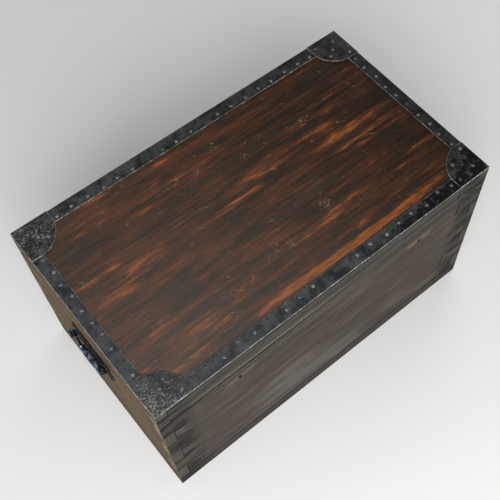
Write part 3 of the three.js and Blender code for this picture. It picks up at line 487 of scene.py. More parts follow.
def makeWallWood():
    look = wallWood
    paint = Paint("wallWood", look)
    grain = grainOf(paint)
    height, outward = paint.at("Z"), abs(paint.at("X"))
    front = paint.step(paint.at("Y"), -0.2638, -0.2648)
    right = paint.step(paint.at("X"), -0.1, 0.1)
    slow = paint.noise(5.0, 4, 0.6)
    speckle = paint.noise((50.0, 50.0, 150.0), 3, 0.6)
    smears = paint.drawn(5, 30, 4, 0.6)
    streaks = paint.drawn(8, 75, 4, 0.62)
    lines = paint.drawn(1.2, 260, 1)
    torn = paint.drawn(9, 62, 4, 0.6)
    scuffed = spots(paint, look["scuffs"], True) + (slow - 0.5) * 1.2 + (smears - 0.5) * 1.2
    stained = spots(paint, look["stains"], True) + (smears - 0.5) * 1.4
    # the lid's rail is handled and mottled, banded with lines of painted shade and highlight, and ruled with
    # lines on its left
    depth = (trunk["plateTop"] - height) * (1 / look["bandDepth"])
    band = paint.node("ShaderNodeValToRGB", {"stops": look["band"]}, {0: depth + (streaks - 0.5) * 0.1})
    inBand = paint.step(depth, 1.0, 0.9)
    light = paint.step(band * 0.25 + streaks * 0.35 + speckle * 0.4, 0.4, 0.6)
    ruled = spots(paint, look["ruled"], True) * front
    # the corners are green with age and torn, with dirt beside the pins and tails
    corner = paint.step(outward + (torn - 0.5) * 0.1, 0.362, 0.4)
    pitch = look["pinPitch"]
    row = paint.step(paint.math("PINGPONG", height - look["pinRow"], pitch), pitch * 0.48, pitch * 0.52)
    gap = paint.math("PINGPONG", height - trunk["baseHead"], pitch * 0.5)
    cracked = paint.step(gap + (streaks - 0.5) * 0.018, 0.0085, 0.003)
    hasp = look["haspMark"]
    besideX, besideZ = abs(outward - hasp["x"]), abs(height - hasp["z"])
    bareX = paint.step(besideX + (torn - 0.5) * 0.05, hasp["halfLength"], hasp["halfLength"] * 0.8)
    bareZ = paint.step(besideZ + (torn - 0.5) * 0.03, hasp["halfHeight"], hasp["halfHeight"] * 0.6)
    bare = bareX * bareZ * front * (paint.step(streaks, 0.42, 0.6) * 0.6 + 0.4)
    hole = paint.step(paint.larger(besideX, besideZ * 0.65), hasp["hole"], hasp["hole"] * 0.6)
    fine = scratches(paint, (0.0, 1.0, 0.0), look["fine"])
    face = trunk["halfWidth"]
    colour = paint.coats(
        grain["colour"],
        ("warm", paint.at("X") + (slow - 0.5) * 0.7, -0.05, 0.35, 0.55),
        ("red", paint.step(slow + (smears - 0.5) * 0.8, 0.46, 0.7) * (0.34 - right * 0.26)),
        ("cool", scuffed, 0.1, 0.9, 0.5),
        ("shade", smears * 0.6 + streaks * 0.4, 0.54, 0.38, 0.5),
        ("rubbed", smears * 0.5 + streaks * 0.5, 0.52, 0.64, 0.28),
        ("shade", stained, 0.1, 0.9, 0.4),
        ("corner", inBand * (0.68 + right * 0.16)),
        # lighter and darker by the band's ramp: painted highlight and shade lines, broken up by mottling
        ("rubbed", light * inBand * 0.2),
        ("stain", (1 - light * 0.65) * inBand * (0.66 - right * 0.26)),
        ("rubbed", paint.step(lines, 0.5, 0.57) * ruled * 0.9),
        ("stain", paint.step(lines, 0.49, 0.42) * ruled * 0.9),
        ("corner", corner * 0.7),
        ("stain", paint.step(torn, 0.53, 0.41) * corner * 0.95),
        ("rubbed", paint.step(torn + (speckle - 0.5) * 0.3, 0.56, 0.7) * corner * 0.45),
        ("stain", paint.near(outward, look["pinDepth"], 0.0022) * row * (right * 0.55 + 0.15)),
        ("stain", cracked * paint.step(outward + (torn - 0.5) * 0.24, 0.38, 0.4) * 0.95),
        ("pale", bare * (right * 0.25 + 0.33)),
        # painted shade round the mouth of the hasp's hole
        ("hollow", hole * front),
        ("pale", fine * 0.2),
        ("stain", jointDirtAndShade(paint, grain["clouds"], 0.7 - right * 0.45) * 0.92),
        # painted shade, near black, in every slit and hole
        ("hollow", paint.step(abs(paint.at("Y")), face - 0.0008, face - 0.0014)),
    )
    roughness = look["roughness"] + bare * 0.2 + (smears - 0.5) * 0.25 + corner * 0.08
    relief = grain["height"] * 0.5 + torn * corner * 1.5 + smears * 0.4 - fine * 0.5
    return paint.finish(colour, roughness, look["gloss"], paint.bump(relief, 0.0005, 0.7))


endWood = {
    "axis": 1,
    "sway": 0.006,
    "dark": (76, 58, 34), "mid": (106, 82, 46), "light": (134, 102, 54),
    "pore": (44, 34, 24), "rubbed": (150, 134, 104), "stain": (34, 27, 20),
    "streaks": 0.5,
    "poreShare": 0.4,
    "edgeWear": 0.7,
    "roughness": 0.55,
    "gloss": 0.06,
    "fine": [(0.3, 8, 110, 0.012, 0.3), (1.5, 9, 120, 0.012, 0.3)],
}


def makeEndWood():
    look = endWood
    paint = Paint("endWood", look)
    grain = grainOf(paint)
    smears = paint.noise((7.0, 7.0, 9.0), 4, 0.6)
    torn = paint.drawn(12, 70, 4, 0.6)
    corner = paint.step(abs(paint.at("Y")) + (torn - 0.5) * 0.2, 0.2, 0.27)
    fine = scratches(paint, (1.0, 0.0, 0.0), look["fine"])
    colour = paint.coats(
        grain["colour"],
        ("stain", smears, 0.5, 0.34, 0.5),
        ("stain", corner * paint.step(torn, 0.6, 0.42) * 0.7),
        ("rubbed", smears + (grain["figure"] - 0.5) * 0.5, 0.55, 0.75, 0.35),
        ("rubbed", fine * 0.4),
        ("stain", jointDirtAndShade(paint, grain["clouds"]) * 0.8),
    )
    normal = paint.bump(grain["height"] - fine * 0.5, 0.0004, 0.8)
    return paint.finish(colour, look["roughness"] + (smears - 0.5) * 0.2, look["gloss"], normal)


cutWood = {
    "pins": {"dark": (34, 31, 25), "light": (76, 73, 58)},
    "tails": {"dark": (60, 46, 32), "light": (158, 134, 98)},
    "roughness": 0.6,
    "gloss": 0.25,
}


def makeCutWood(name):
    # the ends of boards, which show their rings and soak up more stain
    paint = Paint(name, cutWood[name])
    rings = paint.noise((30.0, 30.0, 170.0))
    fine = paint.noise(900.0, 2)
    cracks = paint.step(abs(paint.noise((30.0, 30.0, 260.0), 2) - 0.5), 0.02, 0.008)
    light = paint.step(rings * 0.6 + fine * 0.4, 0.34, 0.62)
    colour = paint.coats(paint.look["dark"], ("light", light), ("dark", cracks * 0.8))
    normal = paint.bump(fine * 0.5 + rings - cracks, 0.0005, 0.8)
    return paint.finish(colour, cutWood["roughness"], cutWood["gloss"], normal)


bareWood = {
    "sway": 0.008,
    "dark": (112, 84, 58), "mid": (140, 108, 76), "light": (160, 128, 92),
    "pore": (84, 60, 40), "stain": (74, 54, 38),
    "streaks": 0.5,
    "poreShare": 0.5,
    "roughness": 0.75,
}


def makeBareWood(name, axis):
    paint = Paint(name, dict(bareWood, axis=axis))
    grain = grainOf(paint)
    dirt = paint.step(paint.noise(5.0, 5, 0.65), 0.48, 0.7)
    colour = paint.coats(grain["colour"], ("stain", dirt * 0.6))
    return paint.finish(colour, bareWood["roughness"], normal=paint.bump(grain["height"], 0.0005, 0.8))


# Iron

plates = {
    "length": 0.09,
    "endBand": 0.031,
    "frontBand": 0.033,
    "backBand": 0.035,
    "radius": 0.082,
    "arcSteps": 28,
    "grid": 0.003,
    "thickness": 0.002,
    "overStrips": 0.001,
    "ridge": 0.014,
    "chamfer": 0.0008,
    "dent": 0.00018,
}


def plateCentre(bandX, bandY):
    # of a plate's round edge, in from the trunk's end and side
    half = Vector((bandX - plates["length"], plates["length"] - bandY)) / 2
    middle = Vector((bandX + plates["length"], plates["length"] + bandY)) / 2
    inward = Vector((-half.y, half.x)).normalized()
    return middle + inward * math.sqrt(plates["radius"] ** 2 - half.length_squared)


lidIron = {
    "black": (21, 24, 26), "deep": (4, 5, 7), "grey": (54, 58, 58),
    "green": (50, 57, 48), "violet": (66, 56, 60), "dust": (98, 98, 96),
    "blue": (82, 89, 98), "arris": (168, 164, 156), "seam": (122, 112, 102),
    "speck": (132, 128, 122), "rust": (78, 66, 54), "veil": (124, 128, 134),
    # how strong the painted sheen towards the near left is
    "paintedSheenShare": 0.13,
    # how blue the polished places are, and how dark the painted shade on the far right is
    "stripShares": (0.15, 0.55),
    "plateShares": (0.6, 0.25),
    "roughness": 0.4,
    "gloss": 0.2,
    # millimetres: middle x and y, half length and half width, strength
    "speckled": [(-440, -250, 85, 68, 1.0), (-425, 235, 100, 80, 0.45)],
    "polished": [(450, -260, 160, 128, 1.0), (270, -262, 200, 160, 0.7)],
    "line": 0.0021,
    "frontLine": 0.6,  # how much less the front strip's inner edge is rubbed
}


def innerLines(paint, inward, u, v, isPlate):
    # where the inner edges of the strips, or of a plate, are rubbed bright
    line = lidIron["line"]
    if isPlate:
        middle = plateCentre(plates["endBand"], (plates["frontBand"] + plates["backBand"]) / 2)
        radial = paint.length((inward - (middle.x, middle.y, 0.0)) * (1.0, 1.0, 0.0))
        arc = paint.near(radial, plates["radius"], line * 1.2)
        arc = arc * paint.step(paint.math("MINIMUM", u, v), 0.028, plates["endBand"])
        return paint.larger(arc, paint.near(u, plates["length"], line), paint.near(v, plates["length"], line))
    back = paint.step(paint.at("Y"), -0.001, 0.001)
    band = back * (plates["backBand"] - plates["frontBand"]) + plates["frontBand"]
    across = paint.near(u, plates["endBand"], line) * paint.step(v - band, -0.001, 0.0)
    return paint.larger(paint.near(v, band, line), across)


def makeIron(name, isPlate):
    look = lidIron
    paint = Paint(name, look)
    clouds = paint.noise(24.0, 4, 0.62)
    patches = paint.noise(48.0, 3, 0.6)
    blots = paint.noise(60.0, 2, 0.5)
    specks = paint.noise(240.0, 3, 0.6)
    grit = paint.noise(330.0, 3, 0.6)
    hue = paint.noise(17.0, 3, 0.6) + (grit - 0.5) * 0.5
    inward, u, v = fromEdges(paint)
    edge = paint.math("MINIMUM", u, v)
    polish = spots(paint, look["polished"]) * (paint.step(edge, 0.03, 0.008) * 0.5 + 0.6)
    polished = paint.step(polish + (patches - 0.5) * 2.4, 0.5, 0.62)
    dusty = paint.step(grit + (clouds - 0.5) * 0.5, 0.52, 0.7)
    speckled = spots(paint, look["speckled"])
    dense = paint.step(specks + speckled * 0.1 + (patches - 0.5) * 0.3, 0.56, 0.7)
    dense = dense * paint.step(speckled, 0.02, 0.3)
    nearness = paint.step(paint.at("Y"), 0.26, -0.26)
    leftness = paint.step(paint.at("X"), 0.3, -0.4)
    farRightShade = paint.step(paint.at("X"), -0.1, 0.45) * paint.step(paint.at("Y"), -0.24, -0.2)
    rub = paint.step(clouds * 0.5 + grit * 0.5, 0.36, 0.58) * 0.8 + 0.2
    outer = paint.step(edge, look["line"] * 0.8, look["line"] * 0.4) * rub
    inner = innerLines(paint, inward, u, v, isPlate) * rub
    inner = inner * (1 - paint.step(paint.at("Y"), -0.22, -0.23) * look["frontLine"])
    blueShare, shadeShare = look["plateShares" if isPlate else "stripShares"]
    colour = paint.coats(
        look["black"],
        ("grey", paint.step(clouds * 0.5 + patches * 0.5, 0.4, 0.58)),
        ("green", hue, 0.52, 0.66, 0.5),
        ("violet", hue, 0.46, 0.34, 0.5),
        ("deep", polished * 0.97),
        ("blue", paint.step(blots, 0.54, 0.66) * polished * blueShare),
        ("dust", dusty * 0.58 * (1 - polished * 0.9)),
        ("deep", grit, 0.44, 0.34, 0.6),
        ("rust", paint.noise(160.0), 0.62, 0.7, 0.4),
        ("black", speckled, 0.1, 0.5, 0.5),
        ("speck", dense * 0.85),
        # painted shade towards the far right and a painted sheen towards the near left
        ("deep", farRightShade * shadeShare),
        ("veil", leftness * (nearness * 0.75 + 0.25) * look["paintedSheenShare"]),
        ("seam", inner * 0.6),
        ("arris", outer),
    )
    roughness = look["roughness"] + dusty * 0.15 + dense * 0.2 - polished * 0.12
    normal = paint.bump(grit * 0.4 + specks * 0.5 + clouds * 1.2 + dense * 0.3, 0.0006, 0.8)
    return paint.finish(colour, roughness, look["gloss"], normal, outer * 0.3)


# dark and light colour, wear, roughness, metal, gloss
smallIron = {
    "ironEdge": ((66, 66, 66), (182, 180, 174), 0.5, 0.42, 0.2, 0.5),
    "nail": ((56, 59, 62), (92, 94, 96), 0.3, 0.5, 0.1, 0.25),
    "nailWorn": ((92, 95, 98), (138, 137, 134), 0.5, 0.65, 0.0, 0.2),
    "handlePlate": ((7, 7, 8), (20, 20, 20), 0.1, 0.75, 0.0, 0.08),
    # the bail's, the ears' and the grip's bluish light colours stand for worn metal and for a painted sheen
    # and highlight
    "handle": ((16, 17, 20), (88, 95, 110), 0.25, 0.34, 0.4, 0.4),
    "handleEdge": ((10, 11, 14), (128, 136, 154), 0.38, 0.35, 0.5, 0.3),
    "grip": ((30, 34, 44), (178, 186, 206), 0.45, 0.24, 0.9, 0.5),
    "hinge": ((48, 45, 41), (104, 96, 84), 0.3, 0.45, 0.6, 0.5),
    "hingeScrew": ((58, 55, 50), (130, 122, 108), 0.4, 0.4, 0.6, 0.5),
}


def makeSmallIron(name, dark, light, wear, roughness, metal, gloss):
    # a dark skin, rubbed bright on its high places, which on the handle's bail, ears and grip is also a
    # painted sheen and highlight
    paint = Paint(name)
    grit = paint.noise(240.0, 4, 0.6)
    clouds = paint.noise(50.0)
    limit = 0.62 - wear * 0.3
    rubbed = paint.step(grit * 0.6 + clouds * 0.4, limit, limit + 0.1)
    colour = paint.blend(dark, light, rubbed)
    normal = paint.bump(grit + clouds, 0.0004, 0.7)
    return paint.finish(colour, roughness + rubbed * 0.08, gloss, normal, rubbed * metal)


def makePaints():
    made = {
        "top": makeTopWood(),
        "topEdge": rubbedEdge("topEdge", topWood),
        "wall": makeWallWood(),
        "wallEdge": rubbedEdge("wallEdge", wallWood),
        "end": makeEndWood(),
        "endEdge": rubbedEdge("endEdge", endWood),
        "pins": makeCutWood("pins"),
        "tails": makeCutWood("tails"),
        "bareAlong": makeBareWood("bareAlong", 0),
        "bareAcross": makeBareWood("bareAcross", 1),
        "strip": makeIron("stripIron", False),
        "plate": makeIron("plateIron", True),
    }
    made.update({name: makeSmallIron(name, *values) for name, values in smallIron.items()})
    return made


# Meshes

def addPiece(name, mesh, body, finishes, replaced=(), smooth=False):
    data = bpy.data.meshes.new(name)
    for face in mesh.faces:
        face.smooth = smooth
    mesh.to_mesh(data)
    mesh.free()
    for finish in finishes:
        data.materials.append(paints[finish].material)
    piece = addObject(name, data)
    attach(piece, body)
    if replaced:
        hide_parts(*replaced)
    return piece


def addBevel(piece, width, segments, material=-1, angle=None):
    # along edges sharper than the angle, or by the edges' own weights where none is given
    bevel = piece.modifiers.new("arrises", "BEVEL")
    bevel.width = width
    bevel.segments = segments
    bevel.material = material
    bevel.use_clamp_overlap = False
    bevel.limit_method = "ANGLE" if angle else "WEIGHT"
    if angle:
        bevel.angle_limit = math.radians(angle)


def faceOutward(mesh):
    bmesh.ops.recalc_face_normals(mesh, faces=mesh.faces)


def uneven(x, y, z):
    # smooth noise, for the most part from -0.5 to 0.5
    return noise.noise(Vector((x, y, z)))


def cutAcross(mesh, place, normal):
    geometry = mesh.verts[:] + mesh.edges[:] + mesh.faces[:]
    bmesh.ops.bisect_plane(mesh, geom=geometry, plane_co=place, plane_no=normal, dist=1e-6)


def loft(mesh, rings, material=0):
    # rings of points, one after another, joined side by side and closed at both ends
    made = [[mesh.verts.new(point) for point in ring] for ring in rings]
    faces = []
    for first, second in zip(made, made[1:]):
        for i in range(len(first)):
            j = (i + 1) % len(first)
            faces.append(mesh.faces.new((first[i], first[j], second[j], second[i])))
    faces.append(mesh.faces.new(list(reversed(made[0]))))
    faces.append(mesh.faces.new(made[-1]))
    for face in faces:
        face.material_index = material
    return faces


def turned(mesh, profile, sides, place, axis):
    # a closed turning, whose profile is (radius, distance along the axis)
    return loft(mesh, turnedRings(profile, sides, place, axis))


def turnedRings(profile, sides, place, axis):
    turn = Vector((0, 0, 1)).rotation_difference(Vector(axis)).to_matrix()
    angles = [2 * math.pi * i / sides for i in range(sides)]
    return [
        [Vector(place) + turn @ Vector((radius * math.cos(a), radius * math.sin(a), along)) for a in angles]
        for radius, along in profile
    ]


# Boards

boards = {
    "splitStep": 0.016,
    "shortest": 0.011,
    "sharpest": math.radians(30),
    "slopes": (0.3, 0.97),  # how upright the CAD's own bevels are, which aren't worn again
    "wear": 0.5,
    "topWear": 0.4,
    "leastWear": 0.15,
    "edgeWidth": 0.0016,
    "topEdgeWidth": 0.0005,
    "insideEdgeWidth": 0.0008,
    # which faces are outside, end grain or inside
    "facing": 0.7,
    "faceDepth": 0.003,
    "rimDepth": 0.005,
    "jointDepth": 0.03,
    "holeReach": 0.01,
    # the score slits, of which the left ones are all but filled
    "slitEnd": 0.42,
    "slitDepth": 0.002,
    "slitPlace": 0.374,
    "slitReach": 0.02,
    "slitFill": 0.0005,
    "slitTolerance": 2e-4,
}


def isArris(edge):
    if len(edge.link_faces) != 2 or not edge.is_convex:
        return False
    least, most = boards["slopes"]
    if any(least < abs(face.normal.z) < most for face in edge.link_faces):
        return False
    return edge.calc_length() > boards["shortest"] and edge.calc_face_angle() > boards["sharpest"]


def wornCopy(node, faceKind, wear):
    # the node's own shape, with long arrises cut in short steps that are worn more and less
    mesh = bmesh.new()
    mesh.from_mesh(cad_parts[node].data)
    bmesh.ops.remove_doubles(mesh, verts=mesh.verts, dist=1e-5)
    bmesh.ops.dissolve_limit(mesh, angle_limit=math.radians(0.5), verts=mesh.verts, edges=mesh.edges)
    floor = trunk["halfWidth"] - boards["slitDepth"]
    for vertex in mesh.verts:
        inSlit = abs(vertex.co.x + boards["slitPlace"]) < boards["slitReach"]
        if inSlit and abs(vertex.co.y + floor) < boards["slitTolerance"]:
            vertex.co.y = boards["slitFill"] - trunk["halfWidth"]
    for face in mesh.faces:
        face.material_index = faceKind(face.calc_center_median(), face.normal)
    bySteps = {}
    for edge in mesh.edges:
        if isArris(edge):
            bySteps.setdefault(round(edge.calc_length() / boards["splitStep"]), []).append(edge)
    for steps, edges in sorted(bySteps.items()):
        if steps > 1:
            bmesh.ops.bisect_edges(mesh, edges=edges, cuts=steps - 1)
    weights = mesh.edges.layers.float.new("bevel_weight_edge")
    for edge in mesh.edges:
        start, end = (vertex.co for vertex in edge.verts)
        middle = (start + end) / 2
        isSlit = abs(start.z - end.z) > 1e-4 and abs(middle.x) < boards["slitEnd"] < 2 * abs(middle.y)
        if isArris(edge) and not isSlit:
            roughness = uneven(*middle * 22) * 0.5 + uneven(*middle * 75) * 0.4
            edge[weights] = min(1.0, max(boards["leastWear"], wear + roughness))
    return mesh


def wallFace(side):
    # 0 outside, 1 end grain, 2 inside
    facing = boards["facing"]

    def kind(centre, normal):
        if normal.y * side > facing and abs(centre.y) > trunk["halfWidth"] - boards["faceDepth"]:
            return 0
        atEnd = abs(centre.x) > trunk["halfLength"] - boards["jointDepth"]
        if atEnd and (abs(normal.x) > facing or abs(normal.z) > 0.5):
            return 1
        onRim = abs(normal.z) > facing and abs(centre.y) < trunk["halfWidth"] - boards["rimDepth"]
        inHole = abs(centre.z - wallWood["haspMark"]["z"]) < boards["holeReach"]
        return 2 if onRim and not inHole or normal.y * side < -facing else 0
    return kind


def endFace(side):
    facing = boards["facing"]

    def kind(centre, normal):
        if normal.x * side > facing and abs(centre.x) > trunk["halfLength"] - boards["faceDepth"]:
            return 0
        if abs(normal.y) > facing and abs(centre.y) > trunk["halfWidth"] - boards["jointDepth"]:
            return 1
        return 2 if normal.x * side < -facing else 0
    return kind


def topFace(centre, normal):
    return 0 if normal.z > 0.5 else 1


def plainFace(centre, normal):
    return 0


def makeBoard(node, body, finishes, faceKind, wear, width):
    # the last finish is that of the arrises, where there is more than one
    piece = addPiece(node + "_wood", wornCopy(node, faceKind, wear), body, finishes, [node])
    addBevel(piece, width, 2, len(finishes) - 1 or -1)


def makeBoards():
    wear, width = boards["wear"], boards["edgeWidth"]
    kinds = (
        ("wall", ("front", "back"), "{}_board", wallFace, ["wall", "tails", "bareAlong", "wallEdge"]),
        ("end", ("left", "right"), "{}_end_board", endFace, ["end", "pins", "bareAcross", "endEdge"]),
    )
    for kind, names, board, faceKind, finishes in kinds:
        for pattern, body in ((board, "case"), ("base_rail_{}", "case"), ("lid_rail_{}", "lid")):
            for name, side in zip(names, (-1, 1)):
                makeBoard(pattern.format(name), body, finishes, faceKind(side), wear, width)
    for name in ("front", "middle", "back"):
        node, finishes = f"top_board_{name}", ["top", "bareAlong", "topEdge"]
        makeBoard(node, "lid", finishes, topFace, boards["topWear"], boards["topEdgeWidth"])
    inside = {f"bottom_board_{i}": ("case", "bareAlong") for i in (1, 2, 3, 4)}
    inside.update({f"bottom_batten_{end}": ("case", "bareAcross") for end in ("left", "right")})
    inside.update({f"lid_batten_{end}": ("lid", "bareAcross") for end in ("left", "right")})
    for node, (body, finish) in inside.items():
        makeBoard(node, body, [finish], plainFace, wear, boards["insideEdgeWidth"])


# Iron strips, corner plates and nails

strips = {
    "step": 0.012,
    "chamfer": 0.0006,
    "easeShare": 0.35,
    "sink": 0.00012,
    "roughEdge": 0.00025,
}


def stripRing(name, low, high, along, share):
    # the strip's section at a share of its length, a little uneven on top and at its inner edge
    across = 1 - along
    place = low[along] + share * (high[along] - low[along])
    a, b = low[across], high[across]
    ragged = max(0, strips["roughEdge"] * (0.5 + uneven(place * 40, 7.7, across)))
    if name in ("front", "left"):
        b -= ragged
    else:
        a += ragged
    top = trunk["stripTop"] - strips["sink"] * (0.5 + 0.5 * uneven(place * 14, 3.1, across))
    cut = strips["chamfer"] * (1 + 0.5 * uneven(place * 60, 1.3, across))
    eased = strips["easeShare"] * cut
    section = [
        (a, trunk["ironFoot"]), (b, trunk["ironFoot"]), (b, top - cut), (b - eased, top - eased),
        (b - cut, top), ((a + b) / 2, top), (a + cut, top), (a + eased, top - eased), (a, top - cut),
    ]
    return [(place, s, z) if along == 0 else (s, place, z) for s, z in section]


def makeStrips():
    for name in ("front", "back", "left", "right"):
        node = "edge_strip_" + name
        low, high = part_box(node)
        along = 0 if name in ("front", "back") else 1
        count = round((high[along] - low[along]) / strips["step"])
        mesh = bmesh.new()
        loft(mesh, [stripRing(name, low, high, along, i / count) for i in range(count + 1)])
        faceOutward(mesh)
        for face in mesh.faces:
            if 0.2 < face.normal.z < 0.97:
                face.material_index = 1
        addPiece(f"{name}_strip_iron", mesh, "lid", ["strip", "ironEdge"], [node])


def plateOutline(bandX, bandY):
    start, end = Vector((plates["length"], bandY)), Vector((bandX, plates["length"]))
    centre = plateCentre(bandX, bandY)
    first = math.atan2(*(start - centre).yx)
    sweep = (math.atan2(*(end - centre).yx) - first) % (2 * math.pi)
    if sweep > math.pi:
        sweep -= 2 * math.pi
    points = [Vector((0, 0)), Vector((plates["length"], 0))]
    for i in range(plates["arcSteps"] + 1):
        angle = first + sweep * i / plates["arcSteps"]
        points.append(centre + plates["radius"] * Vector((math.cos(angle), math.sin(angle))))
    return points + [Vector((0, plates["length"]))]


def makePlate(edgeName, sideY, endName, sideX):
    bandX = plates["endBand"]
    bandY = plates["frontBand"] if sideY < 0 else plates["backBand"]
    mesh = bmesh.new()
    mesh.faces.new([mesh.verts.new((p.x, p.y, 0)) for p in plateOutline(bandX, bandY)])
    for i in range(1, round(plates["length"] / plates["grid"])):
        for normal in ((1, 0, 0), (0, 1, 0)):
            cutAcross(mesh, Vector(normal) * (i * plates["grid"]), normal)
    # it lies on the strips, and past them it is beaten down to the wood
    for vertex in mesh.verts:
        u, v = vertex.co.xy
        past = min(u - bandX, v - bandY) - plates["overStrips"]
        share = min(1, max(0, past / plates["ridge"]))
        drop = (trunk["plateTop"] - trunk["stripTop"]) * share * share * (3 - 2 * share)
        x, y = sideX * (trunk["halfLength"] - u), sideY * (trunk["halfWidth"] - v)
        dent = plates["dent"] * (0.5 + 0.5 * uneven(x * 45, y * 45, 0))
        vertex.co = (x, y, trunk["plateTop"] - drop - dent)
    faceOutward(mesh)
    if sum(face.normal.z for face in mesh.faces) < 0:
        bmesh.ops.reverse_faces(mesh, faces=mesh.faces)
    name, node = f"{edgeName}_{endName}_plate_iron", f"corner_plate_{edgeName}_{endName}"
    piece = addPiece(name, mesh, "lid", ["plate", "ironEdge"], [node], True)
    solid = piece.modifiers.new("thickness", "SOLIDIFY")
    solid.thickness = plates["thickness"]
    solid.offset = -1
    solid.use_even_offset = True
    addBevel(piece, plates["chamfer"], 2, 1, 50)


def makePlates():
    for endName, sideX in (("left", -1), ("right", 1)):
        for edgeName, sideY in (("front", -1), ("back", 1)):
            makePlate(edgeName, sideY, endName, sideX)


nails = {
    "radius": 0.0042,
    "height": 0.0021,
    "sides": 14,
    "seat": 0.0024,  # below the apex of the CAD's own nail
    # shares of the radius and of the height, from the skirt to the crown
    "profile": [(1.0, -0.1), (1.0, 0.18), (0.93, 0.42), (0.78, 0.68), (0.55, 0.88), (0.25, 0.98)],
    "radiusRange": (0.9, 1.04),
    "heightRange": (0.82, 0.96),
    "lean": 0.05,
    "swell": 0.096,
    "crownRings": (4, 5),
    "kinds": [0.45, 0.35, 0.2],  # shares with a bright rim, bright all over, and dark
    "apexHeights": (0.4839, 0.4862),
    "apexTolerance": 5e-5,
    "leastSpacing": 0.0005,
    "baseScale": 0.54,
    "baseStandOff": 0.0001,
}


def nailHead(mesh, place, axis, scale=1.0):
    # hand made: off round, a little tilted and dented
    radius = nails["radius"] * scale * dice.uniform(*nails["radiusRange"])
    height = nails["height"] * scale * dice.uniform(*nails["heightRange"])
    tilt = Vector((dice.uniform(-1, 1), dice.uniform(-1, 1), dice.uniform(-1, 1)))
    axis = (Vector(axis) + tilt * nails["lean"]).normalized()
    rings = turnedRings([(r * radius, h * height) for r, h in nails["profile"]], nails["sides"], place, axis)
    seed = dice.uniform(0, 100)
    for level, ring in enumerate(rings):
        swell = nails["swell"] * (0.5 if level in nails["crownRings"] else 1)
        for i, point in enumerate(ring):
            angle = 2 * math.pi * i / len(ring)
            waver = uneven(math.cos(angle) * 1.2, math.sin(angle) * 1.2, seed)
            ring[i] = point + (point - place) * waver * swell
    kind = dice.choices(("rim", "all", "none"), nails["kinds"])[0]
    for index, face in enumerate(loft(mesh, rings)):
        inRim = index // nails["sides"] not in nails["crownRings"]
        face.material_index = 1 if kind == "all" or kind == "rim" and inRim else 0


def nailPlaces(node):
    # one for each apex of the node's own nails
    found = {}
    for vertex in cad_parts[node].data.vertices:
        if any(abs(vertex.co.z - height) < nails["apexTolerance"] for height in nails["apexHeights"]):
            key = round(vertex.co.x / nails["leastSpacing"]), round(vertex.co.y / nails["leastSpacing"])
            found[key] = vertex.co.copy()
    return [found[key] for key in sorted(found)]


def makeNails():
    sides = ("front", "back", "left", "right")
    nodes = {f"edge_strip_{name}": f"{name}_strip_nails" for name in sides}
    for end in ("left", "right"):
        for edge in ("front", "back"):
            nodes[f"corner_plate_{edge}_{end}"] = f"{edge}_{end}_plate_nails"
    for node, name in nodes.items():
        mesh = bmesh.new()
        for apex in nailPlaces(node):
            nailHead(mesh, apex - Vector((0, 0, nails["seat"])), (0, 0, 1))
        faceOutward(mesh)
        addPiece(name, mesh, "lid", ["nail", "nailWorn"], smooth=True)
    for edge, side in (("front", -1), ("back", 1)):
        for end in ("left", "right"):
            node = f"base_nail_{edge}_{end}"
            place = sum(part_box(node), Vector()) / 2
            place.y = side * (trunk["halfWidth"] + nails["baseStandOff"])
            mesh = bmesh.new()
            nailHead(mesh, place, (0, side, 0), nails["baseScale"])
            faceOutward(mesh)
            addPiece(f"{edge}_{end}_base_nail", mesh, "case", ["nailWorn"] * 2, [node], True)


# Handles, hinges and screws

screws = {
    "sides": 20,
    "slotShare": 0.13,
    "slotDepth": 0.0007,
    "shank": 0.0008,
    # shares of the radius and of the dome's height
    "profile": [(1, 0), (0.93, 0.3), (0.7, 0.7), (0.35, 0.95)],
}


def screwHead(mesh, place, axis, radius, dome, material=0):
    # a slotted head that stands proud by dome at its middle
    head = bmesh.new()
    profile = [(radius, -screws["shank"])] + [(r * radius, h * dome) for r, h in screws["profile"]]
    turned(head, profile, screws["sides"], (0, 0, 0), (0, 0, 1))
    half = radius * screws["slotShare"]
    for side in (-1, 1):
        cutAcross(head, (side * half, 0, 0), (1, 0, 0))
    faceOutward(head)
    slot = [f for f in head.faces if abs(f.calc_center_median().x) < half * 0.9 and f.normal.z > 0.1]
    moved = bmesh.ops.extrude_face_region(head, geom=slot)["geom"]
    bmesh.ops.delete(head, geom=slot, context="FACES")
    for vertex in [v for v in moved if isinstance(v, bmesh.types.BMVert)]:
        vertex.co.z = dome * 0.3 - screws["slotDepth"]
    faceOutward(head)
    turn = Vector((0, 0, 1)).rotation_difference(Vector(axis)).to_matrix().to_4x4()
    spin = Matrix.Rotation(dice.uniform(0, math.pi), 4, "Z")
    head.transform(Matrix.Translation(place) @ turn @ spin)
    made = {vertex: mesh.verts.new(vertex.co) for vertex in head.verts}
    for face in head.faces:
        mesh.faces.new([made[vertex] for vertex in face.verts]).material_index = material
    head.free()


def prism(mesh, axis, outline, start, end, material=0):
    # an outline in the two other axes, in their order
    def point(pair, place):
        values = list(pair)
        values.insert(axis, place)
        return values
    loft(mesh, [[point(p, start) for p in outline], [point(p, end) for p in outline]], material)


def slab(mesh, low, high):
    square = [(low[0], low[1]), (high[0], low[1]), (high[0], high[1]), (low[0], high[1])]
    prism(mesh, 2, square, low[2], high[2])


